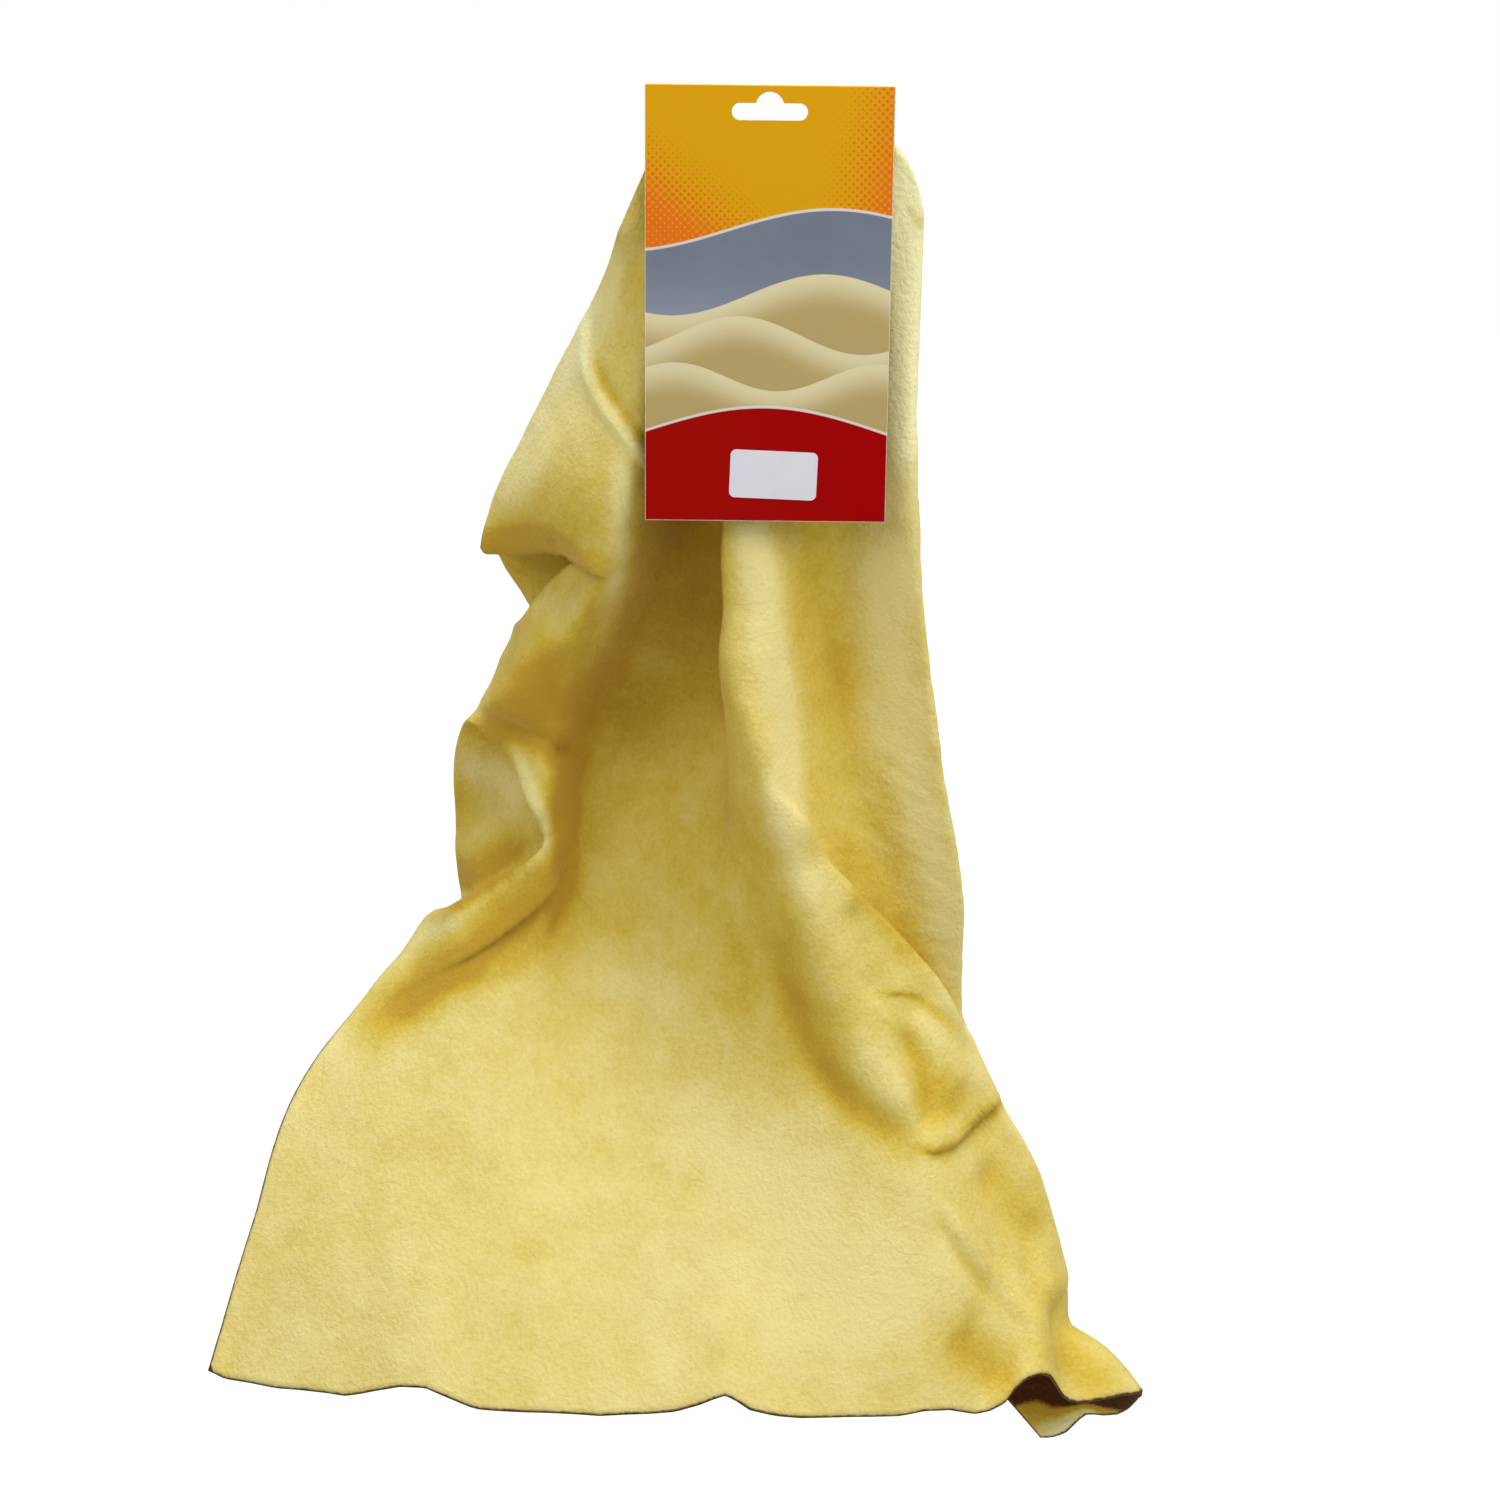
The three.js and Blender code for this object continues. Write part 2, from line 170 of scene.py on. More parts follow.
class NodeSheet:
    """Adds and joins the nodes of one node tree."""

    def __init__(self, tree: bpy.types.NodeTree) -> None:
        """Hold the tree that nodes are added to."""
        self.tree = tree

    def add(self, kind: str, **settings: object) -> bpy.types.Node:
        """Add a node and set its properties."""
        node = self.tree.nodes.new(kind)
        for name, value in settings.items():
            setattr(node, name, value)
        return node

    def feed(self, socket: bpy.types.NodeSocket, value: object) -> None:
        """Link a signal to a socket, or set the socket's own value."""
        if isinstance(value, Signal):
            self.tree.links.new(value.socket, socket)
        elif isinstance(value, tuple) and len(value) == 3 and socket.type == "RGBA":
            socket.default_value = (*value, 1.0)
        else:
            socket.default_value = value

    def join(self, kind: str, output: "str | int", inputs: "dict[str | int, object] | None" = None,
             **settings: object) -> Signal:
        """Add a node, feed its inputs, and give one of its outputs.

        Args:
            kind: the node's type.
            output: name or number of the output.
            inputs: signals or values, by the input's name or number.
            settings: the node's properties.

        Returns:
            The output.
        """
        node = self.add(kind, **settings)
        for name, value in (inputs or {}).items():
            self.feed(node.inputs[name], value)
        return Signal(self, node.outputs[output])

    def place(self) -> Signal:
        """Object coordinates, in metres of the shared frame."""
        return self.join("ShaderNodeTexCoord", "Object")

    def split(self, vector: Signal) -> tuple[Signal, Signal, Signal]:
        """X, Y and Z of a vector."""
        node = self.add("ShaderNodeSeparateXYZ")
        self.feed(node.inputs[0], vector)
        return tuple(Signal(self, output) for output in node.outputs)

    def noise(self, vector: Signal, scale: "Signal | float", detail: float = 3.0,
              roughness: float = 0.5) -> Signal:
        """Fractal noise around 0.5.

        Args:
            vector: where it is read.
            scale: features per metre.
            detail: octaves.
            roughness: share that each octave passes on.

        Returns:
            The noise.
        """
        return self.join("ShaderNodeTexNoise", "Fac", {
            "Vector": vector, "Scale": scale, "Detail": detail, "Roughness": roughness})

    def mix(self, share: "Signal | float", first: "Signal | Colour",
            second: "Signal | Colour") -> Signal:
        """Blend from the first colour to the second by a share."""
        return self.join("ShaderNodeMix", 2, {"Factor": share, 6: first, 7: second},
                         data_type="RGBA")

    def use(self, group: bpy.types.NodeTree, output: str, **values: object) -> Signal:
        """Place a node group with its own values and give one of its outputs."""
        return self.join("ShaderNodeGroup", output, values, node_tree=group)

    def bump(self, height: Signal, strength: float, distance: float) -> Signal:
        """Normal of a surface that is raised by a height."""
        return self.join("ShaderNodeBump", "Normal", {
            "Height": height, "Strength": strength, "Distance": distance})


def new_group(name: str, inputs: dict[str, str], output: str
              ) -> tuple[bpy.types.NodeTree, NodeSheet, dict[str, Signal], bpy.types.NodeSocket]:
    """Start a shader node group with named sockets.

    Args:
        name: the group's name.
        inputs: socket type of each input, by name.
        output: name of its value output.

    Returns:
        The group, its sheet, its inputs as signals, and the output socket to feed.
    """
    tree = bpy.data.node_groups.new(name, "ShaderNodeTree")
    for socket, kind in inputs.items():
        tree.interface.new_socket(socket, in_out="INPUT", socket_type=kind)
    tree.interface.new_socket(output, in_out="OUTPUT", socket_type="NodeSocketFloat")
    sheet = NodeSheet(tree)
    entry = sheet.add("NodeGroupInput")
    signals = {socket: Signal(sheet, entry.outputs[socket]) for socket in inputs}
    return tree, sheet, signals, sheet.add("NodeGroupOutput").inputs[output]


@lru_cache(maxsize=None)
def mottle_group() -> bpy.types.NodeTree:
    """Soft uneven patches, as dye and handling leave on leather and board."""
    tree, sheet, given, out = new_group("mottle", {
        "Vector": "NodeSocketVector", "Scale": "NodeSocketFloat",
        "Contrast": "NodeSocketFloat"}, "Value")
    cloud = sheet.noise(given["Vector"], given["Scale"], detail=4.0, roughness=0.6)
    sheet.feed(out, ((cloud - 0.5) * given["Contrast"]).reckon("ADD", 0.5, clamp=True))
    return tree


@lru_cache(maxsize=None)
def fibre_group() -> bpy.types.NodeTree:
    """Fine fibres, as the nap of suede or the surface of board and paper."""
    tree, sheet, given, out = new_group("fibre", {
        "Vector": "NodeSocketVector", "Scale": "NodeSocketFloat",
        "Coarse": "NodeSocketFloat"}, "Height")
    fine = sheet.noise(given["Vector"], given["Scale"], detail=3.0, roughness=0.7)
    coarse = sheet.noise(given["Vector"], given["Scale"] * 0.22, detail=2.0)
    sheet.feed(out, fine + coarse * given["Coarse"])
    return tree


@lru_cache(maxsize=None)
def edge_wear_and_shade_group() -> bpy.types.NodeTree:
    """Broken line along an edge, from a value that is 1 at the edge: wear on the print, and painted shade
    along the leather's cut edge.
    """
    tree, sheet, given, out = new_group("edge wear and shade", {
        "Vector": "NodeSocketVector", "Edge": "NodeSocketFloat",
        "Scale": "NodeSocketFloat"}, "Mask")
    broken = sheet.noise(given["Vector"], given["Scale"], detail=4.0, roughness=0.65)
    sheet.feed(out, (given["Edge"] + (broken - 0.5) * 0.5).ease(0.55, 0.9))
    return tree


# Finishes


@dataclass(frozen=True)
class Finish:
    """What every finish has: a name, and the plain settings of its shader."""

    name: str
    roughness: float
    specular: float

    def start(self) -> tuple[bpy.types.Material, NodeSheet, bpy.types.Node]:
        """Make the material and its shader.

        Returns:
            The material, a sheet on its node tree, and the Principled BSDF.
        """
        material = bpy.data.materials.new(self.name)
        material.use_nodes = True
        shader = material.node_tree.nodes["Principled BSDF"]
        shader.inputs["Roughness"].default_value = self.roughness
        shader.inputs["Specular IOR Level"].default_value = self.specular
        return material, NodeSheet(material.node_tree), shader


@dataclass(frozen=True)
class LeatherFinish(Finish):
    """Oil-tanned suede in gold, with painted light and shade: paler where the skin lies open to light from
    above, deeper in its folds, and a dark painted shade along the cut edge.
    """

    # lit and shaded copies of the gold: painted highlight, painted light, painted shade and painted dark
    # shade
    painted_highlight: Colour = (0.97, 0.90, 0.48)
    painted_pale_light: Colour = (0.85, 0.73, 0.29)
    gold: Colour = (0.69, 0.50, 0.06)
    painted_shade: Colour = (0.56, 0.345, 0.032)
    painted_dark_shade: Colour = (0.07, 0.02, 0.003)
    # painted shade along the cut edge
    edge: Colour = (0.10, 0.045, 0.012)
    sheen: float = 0.2
    sheen_tint: Colour = (1.0, 0.93, 0.72)

    def material(self) -> bpy.types.Material:
        """Mottled colour, painted light and shade from the painted light share, and hairline creases."""
        material, sheet, shader = self.start()
        shader.inputs["Sheen Weight"].default_value = self.sheen
        shader.inputs["Sheen Roughness"].default_value = 0.45
        shader.inputs["Sheen Tint"].default_value = (*self.sheen_tint, 1.0)
        place = sheet.place()
        flat = sheet.join("ShaderNodeUVMap", "UV", uv_map=Hide.FLAT_MAP)
        # mask of the painted shade along the cut edge
        edge = sheet.join("ShaderNodeAttribute", "Fac", attribute_name=Hide.EDGE_SHADE_MARK)
        painted_light_share = sheet.join("ShaderNodeAttribute", "Fac", attribute_name=Hide.PAINTED_LIGHT_MARK)
        blotch = sheet.use(mottle_group(), "Value", Vector=place, Scale=14.0, Contrast=1.8)
        patch = sheet.use(mottle_group(), "Value", Vector=place, Scale=60.0, Contrast=1.6)
        nap = sheet.use(fibre_group(), "Height", Vector=place, Scale=900.0, Coarse=0.8)
        hairline = self.hairlines(sheet, flat)
        grain = sheet.use(mottle_group(), "Value", Vector=place, Scale=480.0, Contrast=1.8)
        uneven = (blotch - 0.5) * 0.3 + (patch - 0.5) * 0.3 + (grain - 0.5) * 0.18
        # painted light and shade: the painted light share picks shaded copies of the gold in folds and lit
        # copies on open faces; the noise adds random tone
        share = painted_light_share + uneven + (nap - 0.9) * 0.16
        colour = sheet.mix(share.ease(0.1, 0.6), self.painted_shade, self.gold)
        colour = sheet.mix(share.ease(-0.15, -1.0), colour, self.painted_dark_shade)
        colour = sheet.mix(share.ease(0.4, 1.15), colour, self.painted_pale_light)
        colour = sheet.mix(share.ease(1.25, 2.0), colour, self.painted_highlight)
        # hairline creases drawn a little darker: partly painted shade
        colour = sheet.mix(hairline * 0.12, colour, self.painted_shade)
        # painted shade along the cut edge, broken by noise
        edge_wear_and_shade = sheet.use(edge_wear_and_shade_group(), "Mask", Vector=flat, Edge=edge, Scale=300.0)
        sheet.feed(shader.inputs["Base Color"], sheet.mix(edge_wear_and_shade, colour, self.edge))
        height = nap * 0.08 + grain * 0.3 + patch * 0.7 - hairline * 0.1
        sheet.feed(shader.inputs["Normal"], sheet.bump(height, 1.0, MM))
        return material

    @staticmethod
    def hairlines(sheet: NodeSheet, flat: Signal) -> Signal:
        """Fine broken creases that leather takes where it has been folded, drawn a little darker in colour,
        partly their own tone and partly painted shade.
        """
        warp = sheet.join("ShaderNodeTexNoise", "Color", {"Vector": flat, "Scale": 60.0})
        shift = sheet.join("ShaderNodeVectorMath", "Vector", {0: warp, 1: (0.012, 0.012, 0.0), 2: flat},
                           operation="MULTIPLY_ADD")
        cells = sheet.join("ShaderNodeTexVoronoi", "Distance", {"Vector": shift, "Scale": 75.0},
                           feature="DISTANCE_TO_EDGE")
        line = cells.ease(0.035, 0.0)
        broken = sheet.noise(flat, 38.0, detail=2.0).ease(0.48, 0.68)
        return line * broken


@dataclass(frozen=True)
class PrintFinish(Finish):
    """Gloss print: a gold head, layered cream waves on grey-blue and a red foot."""

    gold: Colour = (0.74, 0.37, 0.006)
    orange: Colour = (0.80, 0.17, 0.014)
    dusk: Colour = (0.16, 0.19, 0.24)
    haze: Colour = (0.42, 0.43, 0.52)
    cream: Colour = (0.78, 0.69, 0.42)
    shade: Colour = (0.50, 0.38, 0.15)
    red: Colour = (0.37, 0.0005, 0.0012)
    ember: Colour = (0.37, 0.003, 0.0012)
    core: Colour = (0.78, 0.76, 0.70)
    dot_pitch: float = 2.4
    ink_edge: float = 0.35

    def material(self) -> bpy.types.Material:
        """Bands of flat colour with soft gradients, halftone dots and worn edges."""
        material, sheet, shader = self.start()
        shader.inputs["Coat Weight"].default_value = 0.01
        shader.inputs["Coat Roughness"].default_value = 0.3
        place = sheet.place()
        x, _, z = (value * (1.0 / MM) for value in sheet.split(place))
        cloud = sheet.use(mottle_group(), "Value", Vector=place, Scale=30.0, Contrast=1.5)

        head = sheet.mix(self.halftone(sheet, x, z), self.gold, self.orange)
        field = sheet.mix(z.ease(-60.0, -135.0) * 0.8 + cloud * 0.2, self.dusk, self.haze)
        for middle, swing, length, turn in ((-84.0, 9.0, 21.0, 0.4), (-101.0, 8.0, 17.0, 2.3),
                                            (-119.0, 6.0, 14.0, 4.4)):
            crest = (x * (1.0 / length) + turn).sine() * swing + middle
            depth = crest - z
            wave = sheet.mix(depth.ease(16.0, 0.0), self.shade, self.cream)
            field = sheet.mix(depth.ease(0.0, self.ink_edge), field, wave)
        foot = sheet.mix((x + z * 0.4).ease(-90.0, -20.0), self.ember, self.red)

        head_edge = (x * 0.035 + 0.6).sine() * 9.0 - 57.0
        foot_edge = (x * 0.03 + 1.6).sine() * 11.0 - 143.0
        colour = sheet.mix((head_edge - z).ease(0.0, self.ink_edge), head, field)
        colour = sheet.mix((foot_edge - z).ease(0.0, self.ink_edge), colour, foot)
        for edge in (head_edge, foot_edge):
            keyline = (z - edge).reckon("ABSOLUTE").ease(0.75, 0.45)
            colour = sheet.mix(keyline * 0.85, colour, self.core)

        side = x.reckon("ABSOLUTE") - CARD_HALF
        ends = (z - 0.5 * (CARD_TOP + CARD_FOOT)).reckon("ABSOLUTE") - 0.5 * (CARD_TOP - CARD_FOOT)
        near = side.reckon("MAXIMUM", ends).ease(-0.75, 0.0)
        edge_wear_and_shade = sheet.use(edge_wear_and_shade_group(), "Mask", Vector=place, Edge=near, Scale=260.0)
        sheet.feed(shader.inputs["Base Color"], sheet.mix(edge_wear_and_shade * 0.7, colour, self.core))
        sheet.feed(shader.inputs["Roughness"], cloud * 0.16 + self.roughness)
        fibre = sheet.use(fibre_group(), "Height", Vector=place, Scale=1400.0, Coarse=1.0)
        sheet.feed(shader.inputs["Normal"], sheet.bump(fibre, 0.08, 0.05 * MM))
        return material

    def halftone(self, sheet: NodeSheet, x: Signal, z: Signal) -> Signal:
        """Dots on a slanting screen that grow towards two corners of the head.

        Args:
            sheet: the material's sheet.
            x: millimetres across the card.
            z: millimetres up the card.

        Returns:
            1 inside a dot and 0 outside.
        """
        turn = math.sqrt(0.5) / self.dot_pitch
        across = ((x + z) * turn).reckon("FRACT") - 0.5
        along = ((x - z) * turn).reckon("FRACT") - 0.5
        radius = (across * across + along * along).reckon("SQRT")
        left = (x * 0.7 + z).ease(-32.0, -92.0)
        right = (x * 0.8 - z * 0.2).ease(14.0, 58.0)
        size = left.reckon("MAXIMUM", right) * 0.56
        return (size - radius).ease(-0.03, 0.03)


@dataclass(frozen=True)
class BoardFinish(Finish):
    """Uncoated back of the board."""

    colour: Colour = (0.74, 0.71, 0.63)
    fleck: Colour = (0.58, 0.54, 0.45)

    def material(self) -> bpy.types.Material:
        """Pulp colour with grey flecks and a fibrous surface."""
        material, sheet, shader = self.start()
        place = sheet.place()
        cloud = sheet.use(mottle_group(), "Value", Vector=place, Scale=220.0, Contrast=2.6)
        fibre = sheet.use(fibre_group(), "Height", Vector=place, Scale=1100.0, Coarse=0.6)
        colour = sheet.mix(cloud.ease(0.55, 1.0) * 0.5, self.colour, self.fleck)
        sheet.feed(shader.inputs["Base Color"], colour)
        sheet.feed(shader.inputs["Normal"], sheet.bump(fibre, 0.2, 0.1 * MM))
        return material


@dataclass(frozen=True)
class PaperFinish(Finish):
    """Satin sticker paper."""

    colour: Colour = (0.80, 0.79, 0.84)
    shade: Colour = (0.70, 0.69, 0.75)

    def material(self) -> bpy.types.Material:
        """White paper, a little uneven, with a faint fibre."""
        material, sheet, shader = self.start()
        place = sheet.place()
        cloud = sheet.use(mottle_group(), "Value", Vector=place, Scale=90.0, Contrast=1.6)
        fibre = sheet.use(fibre_group(), "Height", Vector=place, Scale=1700.0, Coarse=0.5)
        sheet.feed(shader.inputs["Base Color"], sheet.mix(cloud * 0.6, self.colour, self.shade))
        sheet.feed(shader.inputs["Normal"], sheet.bump(fibre, 0.1, 0.05 * MM))
        return material


@dataclass(frozen=True)
class SteelFinish(Finish):
    """Bright drawn wire."""

    bright: Colour = (0.62, 0.63, 0.65)
    dull: Colour = (0.36, 0.36, 0.37)

    def material(self) -> bpy.types.Material:
        """Steel with drawing marks and a few dull spots."""
        material, sheet, shader = self.start()
        shader.inputs["Metallic"].default_value = 1.0
        place = sheet.place()
        cloud = sheet.use(mottle_group(), "Value", Vector=place, Scale=600.0, Contrast=2.2)
        sheet.feed(shader.inputs["Base Color"], sheet.mix(cloud, self.dull, self.bright))
        sheet.feed(shader.inputs["Roughness"], cloud * 0.18 + self.roughness)
        return material


LEATHER = LeatherFinish("chamois_suede", roughness=0.95, specular=0.15)
PRINT = PrintFinish("gloss_print", roughness=0.5, specular=0.03)
BOARD = BoardFinish("plain_board", roughness=0.9, specular=0.25)
PAPER = PaperFinish("label_paper", roughness=0.55, specular=0.4)
STEEL = SteelFinish("staple_wire", roughness=0.22, specular=0.5)


# Hide


class Fold(Enum):
    """Fold lines of the hide, from the left cut edge round to the right one."""

    LEFT_CUT_EDGE = 0
    LEFT_FLANK = 1
    LEFT_RIDGE = 2
    VALLEY = 3
    PLEAT_INNER = 4
    PLEAT_EDGE = 5
    COLUMN_CREST = 6
    COLUMN_TROUGH = 7
    RIGHT_ROLL = 8
    REAR_LAYER = 9
    RIGHT_CUT_EDGE = 10


class Relief(Enum):
    """How a stroke changes the hide: raised, pressed in, or one side lapped over the other."""

    RIDGE = "ridge"
    CREASE = "crease"
    LAP = "lap"


class Side(Enum):
    """The two sides of the skin: the one that faces the front at its middle, and the other."""

    FRONT = 1
    BACK = -1


def curve_through(knots: np.ndarray, points: np.ndarray, at: np.ndarray) -> np.ndarray:
    """Smooth curve through points at uneven knots.

    Args:
        knots: rising values, one for each point.
        points: the points, one to a row.
        at: values at which the curve is wanted.

    Returns:
        The curve's points, one to a row.
    """
    spans = np.diff(knots)[:, None]
    slopes = np.diff(points, axis=0) / spans
    tangents = np.empty_like(points)
    tangents[0], tangents[-1] = slopes[0], slopes[-1]
    tangents[1:-1] = (slopes[:-1] * spans[1:] + slopes[1:] * spans[:-1]) / (spans[1:] + spans[:-1])
    i = np.clip(np.searchsorted(knots, at, side="right") - 1, 0, len(knots) - 2)
    span = spans[i]
    s = ((at - knots[i])[:, None]) / span
    return ((1 + 2 * s) * (1 - s) ** 2 * points[i] + span * s * (1 - s) ** 2 * tangents[i]
            + s ** 2 * (3 - 2 * s) * points[i + 1] + span * s ** 2 * (s - 1) * tangents[i + 1])


def grid_faces(rows: int, columns: int) -> np.ndarray:
    """Corner numbers of a grid's faces, one face to a row."""
    number = np.arange(rows * columns).reshape(rows, columns)
    return np.stack([number[:-1, :-1], number[1:, :-1], number[1:, 1:], number[:-1, 1:]],
                    axis=-1).reshape(-1, 4)


@dataclass(frozen=True)
class Spots:
    """Points of the hide as seen from the front, in millimetres, with their fold line numbers."""

    x: np.ndarray
    z: np.ndarray
    fold: np.ndarray

    PATH_STEPS = 48
    SPAN_FADE = 0.15

    @classmethod
    def of(cls, grid: np.ndarray, fold: np.ndarray) -> "Spots":
        """Take the spots of a grid whose columns have these fold line numbers."""
        return cls(grid[:, :, 0].copy(), grid[:, :, 2].copy(), np.broadcast_to(fold, grid.shape[:2]))

    def beside(self, path: tuple[Point2, ...]) -> tuple[np.ndarray, np.ndarray, np.ndarray]:
        """Find where the spots lie beside a path drawn down the hide.

        Args:
            path: millimetres to the right and up.

        Returns:
            The distance from the path, positive on the side that laps over, the share of its
            length at the nearest point, and the direction in which the distance grows.
        """
        corners = np.array(path, float)
        knots = np.concatenate([[0.0], np.cumsum(np.linalg.norm(np.diff(corners, axis=0), axis=1))])
        line = curve_through(knots, corners, np.linspace(0.0, knots[-1], self.PATH_STEPS))
        best = np.full(self.x.shape, np.inf)
        signed, share = np.zeros(self.x.shape), np.zeros(self.x.shape)
        away = np.zeros((*self.x.shape, 2))
        for i, (start, end) in enumerate(zip(line[:-1], line[1:])):
            run = end - start
            dx, dz = self.x - start[0], self.z - start[1]
            t = np.clip((dx * run[0] + dz * run[1]) / (run @ run), 0.0, 1.0)
            gap = np.hypot(dx - t * run[0], dz - t * run[1])
            closer = gap < best
            best = np.where(closer, gap, best)
            signed = np.where(closer, gap * np.sign(dx * run[1] - dz * run[0]), signed)
            share = np.where(closer, (i + t) / (self.PATH_STEPS - 1), share)
            away[closer] = np.array([run[1], -run[0]]) / np.linalg.norm(run)
        return signed, share, away

    def between(self, span: tuple[Fold, Fold]) -> np.ndarray:
        """1 from one fold line to another, and 0 beyond them."""
        first, last = (line.value for line in span)
        return (smoothstep(first - self.SPAN_FADE, first, self.fold)
                * smoothstep(last + self.SPAN_FADE, last, self.fold))


@dataclass(frozen=True)
class Stroke:
    """A ridge, crease or lap drawn down the hide as it is seen from the front."""

    relief: Relief
    path: tuple[Point2, ...]
    width: float
    height: float
    span: tuple[Fold, Fold]
    overlap: float = 0.0
    reach: float = 12.0

    TAPER = 0.2

    def move(self, spots: Spots) -> tuple[np.ndarray, np.ndarray]:
        """Millimetres that the stroke moves the hide at each spot.

        Args:
            spots: where it is wanted.

        Returns:
            The rise along the surface's normal, and the slide to the right and up.
        """
        signed, share, away = spots.beside(self.path)
        amount = spots.between(self.span)
        amount *= smoothstep(0.0, self.TAPER, share) * smoothstep(0.0, self.TAPER, 1.0 - share)
        steps = signed / self.width
        slide = np.zeros_like(away)
        if self.relief is Relief.LAP:
            rise = 0.5 * np.tanh(1.6 * steps) * np.exp(-np.abs(signed) / self.reach)
            fold_over = -self.overlap * steps * np.exp(0.5 - 0.5 * steps ** 2) * amount
            slide = away * fold_over[..., None]
        else:
            rise = np.exp(-steps ** 2) * (-1.0 if self.relief is Relief.CREASE else 1.0)
        return self.height * amount * rise, slide


@dataclass(frozen=True)
class PaintedShadingStreak:
    """A streak of painted light on the hide, or of painted shade where its amount is below 0."""

    path: tuple[Point2, ...]
    width: float
    amount: float
    span: tuple[Fold, Fold]
    side: Side = Side.FRONT

    FADE = (-0.12, 0.25)

    def tint(self, spots: Spots) -> np.ndarray:
        """What the streak adds to the paleness of each spot, below 0 where it paints shade."""
        gap, share, _ = spots.beside(self.path)
        fade = smoothstep(*self.FADE, share) * smoothstep(*self.FADE, 1.0 - share)
        return self.amount * fade * spots.between(self.span) * np.exp(-(gap / self.width) ** 2)


@dataclass(frozen=True)
class Hollow:
    """A pocket between folds: an outline, seen from the front, that is pushed back."""

    outline: tuple[Point2, ...]
    depth: float
    rim: float
    last: Fold

    def push(self, spots: Spots) -> np.ndarray:
        """Millimetres that each spot moves back, along +Y."""
        x, z = spots.x, spots.z
        inside = np.zeros(x.shape, bool)
        nearest = np.full(x.shape, np.inf)
        corners = np.array(self.outline, float)
        for (ax, az), (bx, bz) in zip(corners, np.roll(corners, -1, axis=0)):
            run = np.array([bx - ax, bz - az])
            t = np.clip(((x - ax) * run[0] + (z - az) * run[1]) / (run @ run), 0.0, 1.0)
            nearest = np.minimum(nearest, np.hypot(x - ax - t * run[0], z - az - t * run[1]))
            crossing = (az > z) != (bz > z)
            with np.errstate(divide="ignore", invalid="ignore"):
                beyond = x < run[0] * (z - az) / run[1] + ax
            inside ^= crossing & beyond
        push = self.depth * (1.0 - np.exp(-nearest / self.rim))
        return np.where(inside & (spots.fold <= self.last.value), push, 0.0)


def margin(top: float, foot: float) -> list[Point3]:
    """Stretch of a fold line that is held flat against the card's back flap.

    Args:
        top: millimetres to the right at the hide's top edge.
        foot: the same, level with the flap's foot.

    Returns:
        Three points down the margin.
    """
    heights = np.linspace(Hide.TOP, FLAP_FOOT, 3)
    return [(x, BOARD_THICKNESS + (FOLD_HEIGHT - z) * math.tan(FLAP_SLOPE), z)
            for x, z in zip(np.linspace(top, foot, 3), heights)]


